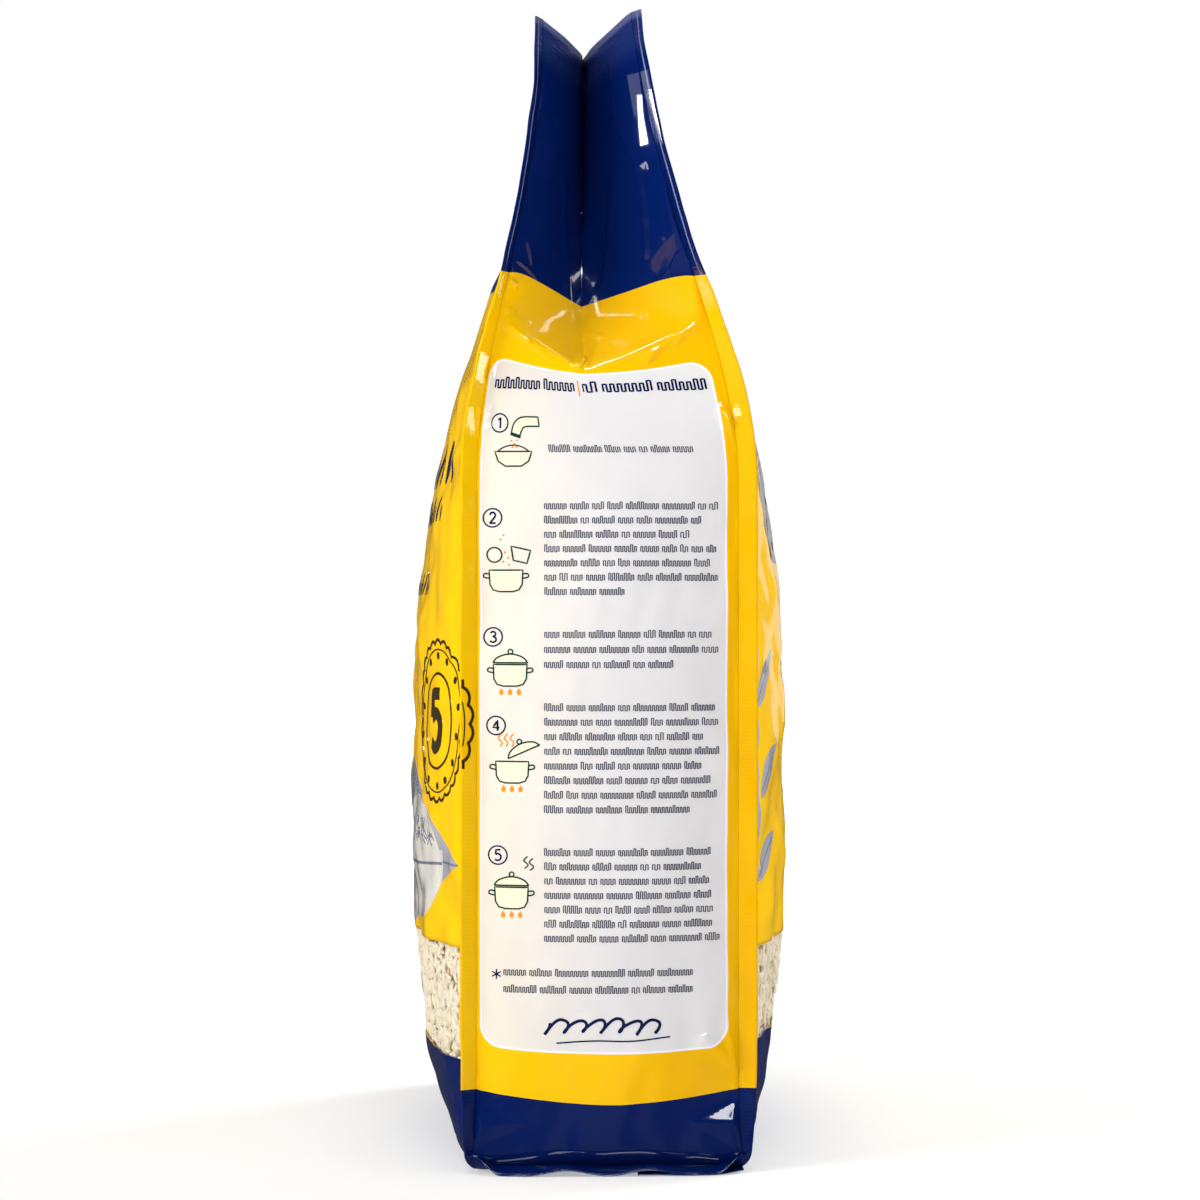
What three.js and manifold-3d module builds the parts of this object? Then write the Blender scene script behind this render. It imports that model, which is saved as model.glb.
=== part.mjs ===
// A filled 5 kg rice sack: a glossy film bag with pleated sides, sealed flat across the top,
// with a sealed fin along each of its four upright corners and a wavy seam lip under each side.
//
// Units are millimetres and +Z is up. The broad front faces -Y, and the pleated sides face +X and -X.
// The origin is in the middle of the flat base.

import * as THREE from 'three';
import { mergeVertices } from 'three/addons/utils/BufferGeometryUtils.js';
import Module from 'manifold-3d';

const wasm = await Module();
wasm.setup();

// Driving sizes of the filled body
const HALF_WIDTH = 104;         // middle to corner crease, along X
const HALF_SIDE = 43;           // middle to corner crease of a side, along Y
const BASE_CORNER_FLARE = 3;    // how far the corner creases spread where they meet the base
const BASE_FLARE_HEIGHT = 9;
const BASE_ROUNDING = 6;        // radius of the soft edge round the base
const BASE_HALF_DEPTH = 50.8;   // middle of the broad panels at the base
const BELLY_HALF_DEPTH = 65.5;  // middle of the broad panels where they stand out most
const BELLY_HEIGHT = 125;
const BELLY_FULLNESS = 3.5;     // power of the curve from the base up to the belly
const BELLY_TAPER = 2.7;        // power of the curve from the belly up to the neck
const SIDE_BULGE = 10;
const SIDE_BULGE_REACH = 138;   // the sides bulge this far above and below the belly

// Driving sizes of the empty neck, where both sides fold inwards
const FOLD_START = 262.5;       // lowest point of the inward fold
const RIDGE_RISE = 17;          // how much higher the fold's two ridges meet the corners
const FOLD_SLOPE = 1.5;
const FOLD_DEPTH = 42;          // the fold's depth at the top seal
const FOLD_CENTRE_Y = -8;
const FOLD_LEAD_IN = 34;        // the sides draw towards the fold over this much height below it
const FOLD_FADE_OUT = 60;       // the mesh rings level out again over this much height above it
const ARM_CURVE_START = 285;    // the folded sides curve more and more from here up to the seal
const TAPER_START = 225;
const TAPER_END = 375;
const NECK_HALF_SIDE = 14.5;    // half the gap between the corner creases at the top
const NECK_SHUT = 352;          // above this the two broad panels lie flat together
const PANEL_FLAT_START = 280;   // the broad panels turn from bowed to flat between these heights
const PANEL_FLAT_END = 350;
const SEAL_EDGE = 371;          // top edge between the folds
const EAR_RISE = 8.5;           // how far the four top corners stand above that edge
const EAR_START = 300;
const LEAN_START = 240;
const LEAN = -7.5;
const SEAL_HALF_THICKNESS = 0.9;
const ARM_THICKNESS = 1.3;

// Fins and lips
const FIN_WIDTH = 6.5;
const FIN_ROOT = 2.0;
const FIN_THICKNESS = 1.3;
const FIN_FOOT = 4;             // the fins start here and reach full width over their next few heights
const FIN_WIDENING = 12;
const FRONT_FIN_ANGLE = 55;     // degrees from +X, so that the fin lies back over the corner
const BACK_FIN_ANGLE = 82;
const FRONT_NECK_FIN_ANGLE = 18;
const BACK_NECK_FIN_ANGLE = 25;
const FIN_TURN_END = 311;       // the fins have turned to their neck angles at this height
const LIP_WIDTH = 8;
const LIP_ROOT = 7;             // how far the lip reaches under the side
const LIP_ROOT_HEIGHT = 2.7;
const LIP_THICKNESS = 1.4;
const LIP_WAVE_HEIGHT = 2.6;
const LIP_WAVE_LENGTH = 0.62;   // as a share of half the side
const LIP_CORNER_RISE = 5.5;

// Mesh density
const PANEL_STEPS = 24;
const SIDE_STEPS = 18;
const LIP_STEPS = 40;
const LEVELS = [
  ...levelsBetween(0, BASE_ROUNDING, 3),
  ...levelsBetween(BASE_ROUNDING, 24, 3),
  ...levelsBetween(24, 225, 9),
  ...levelsBetween(225, 256, 5),
  ...levelsBetween(256, FOLD_START, 2),
  ...levelsBetween(FOLD_START, 292, 9),
  ...levelsBetween(292, SEAL_EDGE, 12),
  SEAL_EDGE,
];

function levelsBetween(low, high, count) {
  return Array.from({ length: count }, (_, i) => low + ((high - low) * i) / count);
}

function smoothMax(a, b, radius) {
  return 0.5 * (a + b + Math.sqrt((a - b) ** 2 + radius ** 2));
}

const clamp01 = (x) => THREE.MathUtils.clamp(x, 0, 1);
const ramp = THREE.MathUtils.smoothstep;

// How far the neck leans towards the front at a height
function lean(z) {
  return LEAN * clamp01((z - LEAN_START) / (SEAL_EDGE + EAR_RISE - LEAN_START)) ** 1.3;
}

// Half the distance between the corner creases of one side
function cornerHalfSide(z) {
  const body = HALF_SIDE + BASE_CORNER_FLARE * Math.exp(-z / BASE_FLARE_HEIGHT);
  return THREE.MathUtils.lerp(body, NECK_HALF_SIDE, ramp(z, TAPER_START, TAPER_END));
}

// Half the sack's depth in the middle of its broad panels
function bellyHalfDepth(z) {
  if (z < BELLY_HEIGHT) {
    const rise = 1 - (1 - z / BELLY_HEIGHT) ** BELLY_FULLNESS;
    return THREE.MathUtils.lerp(BASE_HALF_DEPTH, BELLY_HALF_DEPTH, rise);
  }
  const q = clamp01((z - BELLY_HEIGHT) / (NECK_SHUT - BELLY_HEIGHT));
  return smoothMax(BELLY_HALF_DEPTH * (1 - q ** BELLY_TAPER), SEAL_HALF_THICKNESS, 0.4);
}

// The fold's depth along its middle crease
function foldDepth(z) {
  const kink = FOLD_START + RIDGE_RISE;
  const kinkDepth = FOLD_SLOPE * RIDGE_RISE;
  if (z <= kink) return FOLD_SLOPE * Math.max(0, z - FOLD_START);
  const left = 1 - (z - kink) / (SEAL_EDGE - kink);
  return kinkDepth + (FOLD_DEPTH - kinkDepth) * (1 - left ** 2);
}

// A side's outline bends from straight halves low in the fold to curved arms at the seal
const armPower = (z) => 1 + ramp(z, ARM_CURVE_START, SEAL_EDGE);

// The top edge rises from the fold towards the four corners
const earRise = (z, s) => EAR_RISE * s ** 2.2 * ramp(z, EAR_START, SEAL_EDGE);

// How far the soft edge round the base draws a ring inwards
function baseInset(z) {
  const below = clamp01(1 - z / BASE_ROUNDING);
  return BASE_ROUNDING * (1 - Math.sqrt(1 - below ** 2));
}

// A point on the +X side; t runs from -1 at the front corner to 1 at the back corner
function sidePoint(t, z) {
  const s = Math.abs(t);
  const halfSide = cornerHalfSide(z);
  const folded = ramp(z, FOLD_START - FOLD_LEAD_IN, FOLD_START);
  const reach = Math.max(1e-3, Math.min(1, (z - FOLD_START) / RIDGE_RISE));
  const inward = foldDepth(z) * Math.max(0, 1 - s / reach);
  const bulge = SIDE_BULGE * Math.max(0, 1 - Math.abs((z - BELLY_HEIGHT) / SIDE_BULGE_REACH) ** 4);
  const outward = bulge * (1 - s ** 2);
  const shift = (FOLD_CENTRE_Y - lean(z)) * (1 - s) * folded;
  const y = lean(z) + shift + Math.sign(t) * halfSide * s ** armPower(z);
  return new THREE.Vector3(HALF_WIDTH - inward + outward, y, z + earRise(z, s));
}

// The outward distance of a broad panel from the neck's middle plane; side is -1 in front, 1 behind
function panelDistance(x, z, side) {
  const halfSide = cornerHalfSide(z);
  const belly = bellyHalfDepth(z);
  const roundness = 2.2 + 3.8 * ramp(z, PANEL_FLAT_START, PANEL_FLAT_END);
  const bowed = THREE.MathUtils.lerp(belly, halfSide, Math.abs(x / HALF_WIDTH) ** roundness);
  const depth = foldDepth(z);
  if (depth <= 0) return bowed;
  const s = clamp01((Math.abs(x) - HALF_WIDTH + depth) / depth);
  const crease = side * (FOLD_CENTRE_Y - lean(z)) * (1 - s);
  const overSide = crease + halfSide * s ** armPower(z) + ARM_THICKNESS;
  const blended = smoothMax(bowed, overSide, 1.0);
  return THREE.MathUtils.lerp(blended, halfSide, s ** 10);
}

function panelPoint(x, z, side) {
  const s = clamp01((Math.abs(x) - HALF_WIDTH + foldDepth(z)) / Math.max(1e-3, foldDepth(z)));
  return new THREE.Vector3(x, lean(z) + side * panelDistance(x, z, side), z + earRise(z, s));
}

// The height of a ring at a share s of the way from a side's middle to its corner.
// The ring at FOLD_START runs up along the fold's ridges, and its neighbours follow it part of the way.
function warpedHeight(level, s) {
  const follow = level < FOLD_START
    ? ramp(level, FOLD_START - FOLD_LEAD_IN, FOLD_START)
    : 1 - ramp(level, FOLD_START, FOLD_START + FOLD_FADE_OUT);
  return level + RIDGE_RISE * s * follow;
}

// One ring round the sack, counter-clockwise seen from above, with each corner used once
function ring(level) {
  const cornerHeight = warpedHeight(level, 1);
  const side = Array.from({ length: SIDE_STEPS + 1 }, (_, i) => {
    const t = -1 + (2 * i) / SIDE_STEPS;
    return sidePoint(t, warpedHeight(level, Math.abs(t)));
  });
  const panel = (y) => Array.from({ length: PANEL_STEPS - 1 }, (_, i) => {
    const x = y * HALF_WIDTH * Math.cos((Math.PI * (i + 1)) / PANEL_STEPS);
    return panelPoint(x, cornerHeight, y);
  });
  const inset = baseInset(level);
  const draw = new THREE.Vector3(1 - inset / HALF_WIDTH, 1 - inset / BASE_HALF_DEPTH, 1);
  return [...panel(-1), ...side, ...panel(1), ...side.map(mirrored).reverse()].map((p) => p.multiply(draw));
}

const mirrored = (p) => new THREE.Vector3(-p.x, p.y, p.z);

// A closed solid through rings of equal length, with both ends capped
function loft(rings) {
  const count = rings[0].length;
  const position = rings.flat().flatMap((p) => [p.x, p.y, p.z]);
  const index = [];
  for (let r = 0; r + 1 < rings.length; r++) {
    for (let i = 0; i < count; i++) {
      const a = r * count + i;
      const b = r * count + ((i + 1) % count);
      index.push(a, b, b + count, a, b + count, a + count);
    }
  }
  const last = (rings.length - 1) * count;
  for (const [a, b, c] of capTriangles(rings[0])) index.push(a, c, b);
  for (const [a, b, c] of capTriangles(rings.at(-1))) index.push(last + a, last + b, last + c);
  const geometry = new THREE.BufferGeometry();
  geometry.setAttribute('position', new THREE.Float32BufferAttribute(position, 3));
  geometry.setIndex(index);
  return geometry;
}

// Triangles over a ring, worked out in the plane that the ring mostly lies in
function capTriangles(points) {
  const normal = new THREE.Vector3();
  points.forEach((p, i) => normal.add(new THREE.Vector3().crossVectors(p, points[(i + 1) % points.length])));
  const turn = new THREE.Quaternion().setFromUnitVectors(normal.normalize(), new THREE.Vector3(0, 0, 1));
  const flat = points.map((p) => p.clone().applyQuaternion(turn)).map((p) => new THREE.Vector2(p.x, p.y));
  return THREE.ShapeUtils.triangulateShape(flat, []);
}

// The four corners of a thin strip's section: root and tip are its two edges
function stripSection(root, tip, normal, thickness) {
  const half = normal.clone().normalize().multiplyScalar(thickness / 2);
  return [
    root.clone().sub(half),
    tip.clone().sub(half),
    tip.clone().add(half),
    root.clone().add(half),
  ];
}

// The sealed fin along one corner of the +X side; side is -1 in front, 1 behind
function cornerFin(side) {
  const bodyAngle = side < 0 ? FRONT_FIN_ANGLE : BACK_FIN_ANGLE;
  const neckAngle = side < 0 ? FRONT_NECK_FIN_ANGLE : BACK_NECK_FIN_ANGLE;
  const levels = LEVELS.filter((level) => level > FIN_FOOT);
  const sections = levels.map((level) => {
    const z = warpedHeight(level, 1);
    const turned = ramp(z, TAPER_START, FIN_TURN_END);
    const angle = THREE.MathUtils.degToRad(THREE.MathUtils.lerp(bodyAngle, neckAngle, turned));
    const width = FIN_WIDTH * (1 - Math.exp(-z / FIN_WIDENING));
    const out = new THREE.Vector3(Math.cos(angle), side * Math.sin(angle), 0);
    const across = new THREE.Vector3(-side * Math.sin(angle), Math.cos(angle), 0);
    const corner = sidePoint(side, z);
    const root = corner.clone().addScaledVector(out, -FIN_ROOT);
    const tip = corner.clone().addScaledVector(out, width);
    return stripSection(root, tip, across, FIN_THICKNESS);
  });
  return loft(sections);
}

// The wavy seam lip under the +X side
function seamLip() {
  const sections = [];
  for (let i = 0; i <= LIP_STEPS; i++) {
    const t = -1 + (2 * i) / LIP_STEPS;
    const s = Math.abs(t);
    const wave = (1 - Math.cos((2 * Math.PI * t) / LIP_WAVE_LENGTH)) / 2;
    const rise = LIP_WAVE_HEIGHT * wave * (1 - ramp(s, 0.55, 0.75)) + LIP_CORNER_RISE * ramp(s, 0.8, 1);
    const width = LIP_WIDTH * (1 - s ** 6) + 0.5;
    const y = t * (cornerHalfSide(BASE_ROUNDING) - 0.5);
    const root = new THREE.Vector3(HALF_WIDTH - LIP_ROOT, y, LIP_ROOT_HEIGHT);
    const tip = new THREE.Vector3(HALF_WIDTH + width, y, LIP_THICKNESS / 2 + rise);
    sections.push(stripSection(root, tip, new THREE.Vector3(0, 0, 1), LIP_THICKNESS));
  }
  return loft(sections.reverse());
}

function mirroredGeometry(geometry) {
  const copy = geometry.clone().scale(-1, 1, 1);
  const index = Array.from(copy.getIndex().array);
  for (let i = 0; i < index.length; i += 3) [index[i], index[i + 1]] = [index[i + 1], index[i]];
  return copy.setIndex(index);
}

function solid(geometry) {
  const merged = mergeVertices(geometry, 1e-5);
  return new wasm.Manifold(
    new wasm.Mesh({
      numProp: 3,
      vertProperties: new Float32Array(merged.getAttribute('position').array),
      triVerts: new Uint32Array(merged.getIndex().array),
    }),
  );
}

function joined(geometries) {
  const whole = geometries.map(solid).reduce((a, b) => a.add(b));
  const mesh = whole.getMesh();
  const geometry = new THREE.BufferGeometry();
  geometry.setAttribute('position', new THREE.Float32BufferAttribute(mesh.vertProperties, 3));
  geometry.setIndex(Array.from(mesh.triVerts));
  geometry.computeVertexNormals();
  return geometry;
}

function sack() {
  const oneSide = [cornerFin(-1), cornerFin(1), seamLip()];
  return joined([loft(LEVELS.map(ring)), ...oneSide, ...oneSide.map(mirroredGeometry)]);
}

const film = new THREE.MeshStandardMaterial({ color: 0xf6bf0a, roughness: 0.3, metalness: 0 });
const mesh = new THREE.Mesh(sack(), film);
mesh.name = 'sack';

const model = new THREE.Group();
model.add(mesh);

export default model;
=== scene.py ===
"""The looks of a filled 5 kg rice sack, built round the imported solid.

Glossy printed film with pleated sides, a welded fin along each upright corner, wavy seam lips under
the sides, two clear windows with rice behind them, and a flat ribbed top seal.
Sizes are in millimetres until a mesh is made. +Z is up, the broad front faces -Y, and the pleated
sides face +X and -X.
"""
import copy
import math

import bpy
import numpy as np
from mathutils import Matrix


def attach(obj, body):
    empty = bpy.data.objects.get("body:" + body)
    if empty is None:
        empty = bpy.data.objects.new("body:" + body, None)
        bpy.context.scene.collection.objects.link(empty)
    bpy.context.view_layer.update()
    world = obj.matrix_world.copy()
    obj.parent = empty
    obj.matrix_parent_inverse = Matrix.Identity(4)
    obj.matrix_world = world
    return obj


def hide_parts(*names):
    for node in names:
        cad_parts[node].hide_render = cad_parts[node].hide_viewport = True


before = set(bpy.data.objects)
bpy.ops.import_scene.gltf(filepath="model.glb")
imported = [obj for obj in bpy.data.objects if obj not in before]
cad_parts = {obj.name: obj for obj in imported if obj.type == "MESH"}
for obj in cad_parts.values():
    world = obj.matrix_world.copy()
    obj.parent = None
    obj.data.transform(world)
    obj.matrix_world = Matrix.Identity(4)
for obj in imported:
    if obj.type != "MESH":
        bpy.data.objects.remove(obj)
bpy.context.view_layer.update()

MM = 0.001
BODY = "root"
NODE = "sack"

# Driving sizes of the solid's form, as in the part's source
HALF_WIDTH = 104.0
HALF_SIDE = 43.0
BASE_CORNER_FLARE = 3.0
BASE_FLARE_HEIGHT = 9.0
BASE_ROUNDING = 6.0
BASE_HALF_DEPTH = 50.8
BELLY_HALF_DEPTH = 65.5
BELLY_HEIGHT = 125.0
BELLY_FULLNESS = 3.5
BELLY_TAPER = 2.7
SIDE_BULGE = 10.0
SIDE_BULGE_REACH = 138.0
FOLD_START = 262.5
RIDGE_RISE = 17.0
FOLD_SLOPE = 1.5
FOLD_DEPTH = 42.0
FOLD_CENTRE_Y = -8.0
FOLD_LEAD_IN = 34.0
FOLD_FADE_OUT = 60.0
ARM_CURVE_START = 285.0
TAPER_START = 225.0
TAPER_END = 375.0
NECK_HALF_SIDE = 14.5
NECK_SHUT = 352.0
PANEL_FLAT_START = 280.0
PANEL_FLAT_END = 350.0
SEAL_EDGE = 371.0
EAR_RISE = 8.5
EAR_START = 300.0
LEAN_START = 240.0
LEAN = -7.5
FIN_WIDTH = 6.5
FIN_WIDENING = 12.0
FRONT_FIN_ANGLE = 55.0
BACK_FIN_ANGLE = 82.0
FRONT_NECK_FIN_ANGLE = 18.0
BACK_NECK_FIN_ANGLE = 25.0
FIN_TURN_END = 311.0

# Finer sizes that only the film has
FILM = 0.3                 # thickness of one panel
FIN_THICKNESS = 0.6
FIN_WAVE = 0.5
FIN_RIPPLE = 0.12
FIN_OVERLAP = 0.3          # how far a fin's root reaches into the corner
LIP_THICKNESS = 0.32
LIP_CLEARANCE = 0.35       # of a lip's upper face from the floor
WINDOW_THICKNESS = 0.12
FRONT_EAR_RISE = 6.7       # the solid's two ears are alike, and the film's differ
BACK_EAR_RISE = 9.1
NECK_TWIST = 4.5           # how much less the -X end of the neck leans
SEAL_HALF_THICKNESS = 0.45
ARM_THICKNESS = 0.9        # between a folded side and the broad panel over it
RIDGE_SOFTNESS = 0.09      # roundness of the fold's ridges, as a share of their reach
KINK_SOFTNESS = 13.0       # roundness of the fold where it turns steeper
SIDE_BASE_ROUNDING = 10.5  # how far a side's middle curls under, above the lips
SEAL_BAND = 12.0           # height of the ribbed seal
SEAL_RIB = 1.5
SEAL_RIM = 2.2             # height of the paler strip along the cut edge
WELD_HATCH = 1.3           # pitch of the marks pressed into the corner fins
WELD_HIGHLIGHT_PLACE = 0.66           # place of the fins' painted highlight line, as a share of their width

# Height at which the print of a side runs level
PRINT_LEVEL = 80.0

# Heights of the colour fields, along the film from the base
NAVY_TOP_START = 300.2
NAVY_TOP_RISE = 2.3        # how much higher it starts in the middle of a side
NAVY_BASE_END = 32.0
BASE_BAND_SAG = 4.5        # how much lower the middle of a side's base band is
WINDOW_FRONT = (34.6, 72.0)
WINDOW_BACK = (40.5, 72.0)

# Colours, as sRGB
YELLOW = (255, 200, 0)
YELLOW_SHADED = (246, 186, 0)      # painted shade on the sides and fins further away from the front, which get less light
NAVY = (3, 27, 90)
LABEL_LIT_WARM = (237, 228, 214)     # the side label towards the front, painted warmer and lighter where it is lit
# painted shade: the label turns cooler and greyer towards the back
LABEL_SHADED_COOL = (227, 225, 226)
LABEL_RIM = (246, 244, 255)
# painted sheen: the seal band's navy is lighter, standing in for light off its ribs
NAVY_SEAL_SHEEN = (44, 58, 112)
CUT_EDGE = (116, 124, 160)
# painted highlight along the fins' weld
WELD_HIGHLIGHT = (150, 156, 192)
GRAIN_COLOURS = ((255, 250, 236), (240, 224, 192))
# deeper rice, painted darker brown as the shade in the gaps between grains
BED_COLOURS_SHADED = ((222, 200, 156), (150, 118, 70))
INK_COLOURS = {
    "ink_grey": (70, 74, 90),
    "ink_navy": (12, 26, 74),
    "ink_navy_text": (12, 26, 74),
    "ink_badge": (58, 44, 20),
    "ink_green": (22, 62, 46),
    "ink_orange": (236, 150, 30),
    "ink_cream": (250, 238, 208),
    "ink_cloth": (184, 183, 192),
    "ink_fold": (128, 132, 146),
    "ink_pale": (236, 231, 220),
    "ink_gold": (250, 206, 60),
}

# Surfaces
FILM_ROUGHNESS = 0.16
FILM_IOR = 1.45
INK_GLOSS = 0.1            # of the print under the film's clear skin
SKIN_ROUGHNESS = 0.04
PANEL_SKIN = 0.45          # how much of the full gloss the broad panels have
TONE_WAVES = 55            # unevenness of the colour, in waves to a metre
RIPPLE_WAVES = 90
RIPPLE_STRENGTH = 0.05
RIPPLE_HEIGHT = 0.0012     # in metres
WELD_DENT = 0.5
CLEAR_TINT = (1.0, 0.995, 0.985, 1)
CLEAR_GLOSS = 0.08
CLEAR_HAZE = 0.01
WHITE = (1, 1, 1, 1)


def ramp(x, low, high):
    x = np.clip((np.asarray(x, float) - low) / (high - low), 0, 1)
    return x * x * (3 - 2 * x)


def lerp(a, b, share):
    return a + (b - a) * share


def smooth_max(a, b, radius):
    return 0.5 * (a + b + np.sqrt((a - b) ** 2 + radius**2))


# The form of the sack, as in the part's source


def lean(z):
    """How far the neck leans towards the front at a height."""
    share = np.clip((z - LEAN_START) / (SEAL_EDGE + EAR_RISE - LEAN_START), 0, 1)
    return LEAN * share**1.3


def corner_half_side(z):
    body = HALF_SIDE + BASE_CORNER_FLARE * np.exp(-z / BASE_FLARE_HEIGHT)
    return lerp(body, NECK_HALF_SIDE, ramp(z, TAPER_START, TAPER_END))


def belly_half_depth(z):
    low = 1 - np.clip(1 - z / BELLY_HEIGHT, 0, 1) ** BELLY_FULLNESS
    q = np.clip((z - BELLY_HEIGHT) / (NECK_SHUT - BELLY_HEIGHT), 0, 1)
    high = smooth_max(BELLY_HALF_DEPTH * (1 - q**BELLY_TAPER), SEAL_HALF_THICKNESS, 0.4)
    return np.where(z < BELLY_HEIGHT, lerp(BASE_HALF_DEPTH, BELLY_HALF_DEPTH, low), high)


def fold_depth(z):
    kink = FOLD_START + RIDGE_RISE
    kink_depth = FOLD_SLOPE * RIDGE_RISE
    left = 1 - (z - kink) / (SEAL_EDGE - kink)
    lower = FOLD_SLOPE * np.maximum(0, z - FOLD_START)
    upper = kink_depth + (FOLD_DEPTH - kink_depth) * (1 - left**2)
    softness = KINK_SOFTNESS * ramp(z, FOLD_START, kink)
    folded = 0.5 * (lower + upper - np.sqrt((lower - upper) ** 2 + softness**2))
    return np.where(z > FOLD_START, folded, 0)


def arm_power(z):
    return 1 + ramp(z, ARM_CURVE_START, SEAL_EDGE)


def ear_rise(z, s, side):
    highest = np.where(side < 0, FRONT_EAR_RISE, BACK_EAR_RISE)
    return highest * s**2.2 * ramp(z, EAR_START, SEAL_EDGE)


def base_inset(z, rounding):
    below = np.clip(1 - z / rounding, 0, 1)
    return rounding * (1 - np.sqrt(1 - below**2))


def side_bulge(z):
    return SIDE_BULGE * np.maximum(0, 1 - np.abs((z - BELLY_HEIGHT) / SIDE_BULGE_REACH) ** 4)


def warped_height(level, s):
    low = ramp(level, FOLD_START - FOLD_LEAD_IN, FOLD_START)
    high = 1 - ramp(level, FOLD_START, FOLD_START + FOLD_FADE_OUT)
    return level + RIDGE_RISE * s * np.where(level < FOLD_START, low, high)


def side_points(t, level):
    """Points of the +X side; t runs from -1 at the front corner to 1 at the back corner."""
    s = np.abs(t)
    z = warped_height(level, s)
    half_side = corner_half_side(z)
    folded = ramp(z, FOLD_START - FOLD_LEAD_IN, FOLD_START)
    reach = np.maximum(1 - smooth_max(1 - (z - FOLD_START) / RIDGE_RISE, 0, 0.3), 1e-3)
    softness = RIDGE_SOFTNESS * (1 - ramp(s, 0.8, 1))
    inward = fold_depth(z) * smooth_max(1 - s / reach, 0, softness)
    outward = side_bulge(z) * (1 - s**2)
    shift = (FOLD_CENTRE_Y - lean(z)) * (1 - s) * folded
    x = HALF_WIDTH - inward + outward
    y = lean(z) + shift + np.sign(t) * half_side * s ** arm_power(z)
    rounding = lerp(SIDE_BASE_ROUNDING, BASE_ROUNDING, s**2)
    return drawn_in(x, y, z + ear_rise(z, s, np.sign(t)), z, rounding)


def panel_points(x, z, side):
    """Points of the broad front panel (side -1) or back panel (side 1)."""
    half_side = corner_half_side(z)
    roundness = 2.2 + 3.8 * ramp(z, PANEL_FLAT_START, PANEL_FLAT_END)
    bowed = lerp(belly_half_depth(z), half_side, np.abs(x / HALF_WIDTH) ** roundness)
    depth = np.maximum(fold_depth(z), 1e-3)
    s = np.clip((np.abs(x) - HALF_WIDTH + depth) / depth, 0, 1)
    crease = side * (FOLD_CENTRE_Y - lean(z)) * (1 - s)
    over_side = crease + half_side * s ** arm_power(z) + ARM_THICKNESS
    over_fold = lerp(smooth_max(bowed, over_side, 1.0), half_side, s**10)
    distance = np.where(fold_depth(z) > 0, over_fold, bowed)
    y = lean(z) + side * distance
    return drawn_in(x, y, z + ear_rise(z, s, side), z, BASE_ROUNDING)


def drawn_in(x, y, z, height, rounding):
    """Draws the soft edge round the base inwards."""
    inset = base_inset(height, rounding)
    return np.stack([x * (1 - inset / HALF_WIDTH), y * (1 - inset / BASE_HALF_DEPTH), z + 0 * x], -1)


# Relief that the solid leaves out: rice pressing on the film, wrinkles and pinched corners


def facets(a, b, corners, peak, height):
    """A flat-faced pinch: a low pyramid over a polygon given anticlockwise, with its peak at that place."""
    low = None
    for start, end in zip(corners, corners[1:] + corners[:1]):
        along = (end[0] - start[0], end[1] - start[1])
        inside = along[0] * (b - start[1]) - along[1] * (a - start[0])
        at_peak = along[0] * (peak[1] - start[1]) - along[1] * (peak[0] - start[0])
        share = inside / at_peak
        low = share if low is None else np.minimum(low, share)
    return height * np.maximum(low, 0)


def lumps(x, y, length, seed, waves=14):
    """Smooth unevenness between about -1 and 1, with bumps of roughly that length."""
    draw = np.random.default_rng(seed)
    total = np.zeros(np.broadcast(x, y).shape)
    for _ in range(waves):
        angle, phase = draw.uniform(0, 2 * math.pi, 2)
        pitch = length * draw.uniform(0.7, 1.6)
        total += np.sin((x * math.cos(angle) + y * math.sin(angle)) * 2 * math.pi / pitch + phase)
    return total / math.sqrt(waves)


def wrinkle(a, b, start, end, widths, height):
    """A ridge from start to end that thins out at both ends, with flat flanks of two widths."""
    along = np.array(end, float) - np.array(start, float)
    length = math.hypot(*along)
    along /= length
    run = ((a - start[0]) * along[0] + (b - start[1]) * along[1]) / length
    off = (b - start[1]) * along[0] - (a - start[0]) * along[1]
    width = np.where(off > 0, widths[0], widths[1]) * (0.35 + 0.65 * np.clip(run, 0, 1))
    flank = smooth_max(1 - np.abs(off) / width, 0, 0.12)
    ends = np.clip(run / 0.2, 0, 1) * np.clip((1 - run) / 0.2, 0, 1)
    return height * flank * ends * ends * (3 - 2 * ends)


# Wrinkles of a pleated side: start, end (across, up), widths left and right of the line, height
SIDE_WRINKLES = [
    ((-7.0, 276.5), (-0.5, 274.5), (0.9, 1.4), 0.7),
    ((-0.5, 264.3), (31.5, 279.2), (1.2, 1.6), 0.7),
    ((8.0, 264.8), (31.0, 278.6), (1.1, 2.0), 0.8),
    ((-17.0, 265.2), (-36.6, 280.0), (1.6, 1.8), 0.8),
    ((-37.8, 280.0), (-34.6, 293.8), (0.9, 1.2), 0.5),
    ((-36.0, 283.5), (-30.5, 282.5), (0.8, 0.9), 0.5),
    ((-37.5, 280.2), (-31.5, 279.4), (0.9, 0.8), 0.5),
    ((-36.0, 284.0), (-32.0, 284.6), (0.8, 0.9), 0.4),
    ((-42.0, 241.0), (-37.0, 252.0), (2.6, 1.4), 0.6),
    ((42.0, 243.0), (35.5, 252.0), (1.5, 2.6), 0.7),
    ((42.0, 249.0), (37.0, 244.0), (1.2, 1.6), 0.5),
    ((40.0, 216.0), (33.0, 213.0), (2.0, 2.5), 0.5),
    ((41.0, 174.0), (31.0, 171.0), (2.0, 3.0), 0.4),
    ((43.0, 33.0), (28.0, 45.0), (4.0, 5.0), 0.9),
    ((42.0, 33.0), (38.0, 54.0), (3.0, 3.0), 0.6),
]

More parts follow.
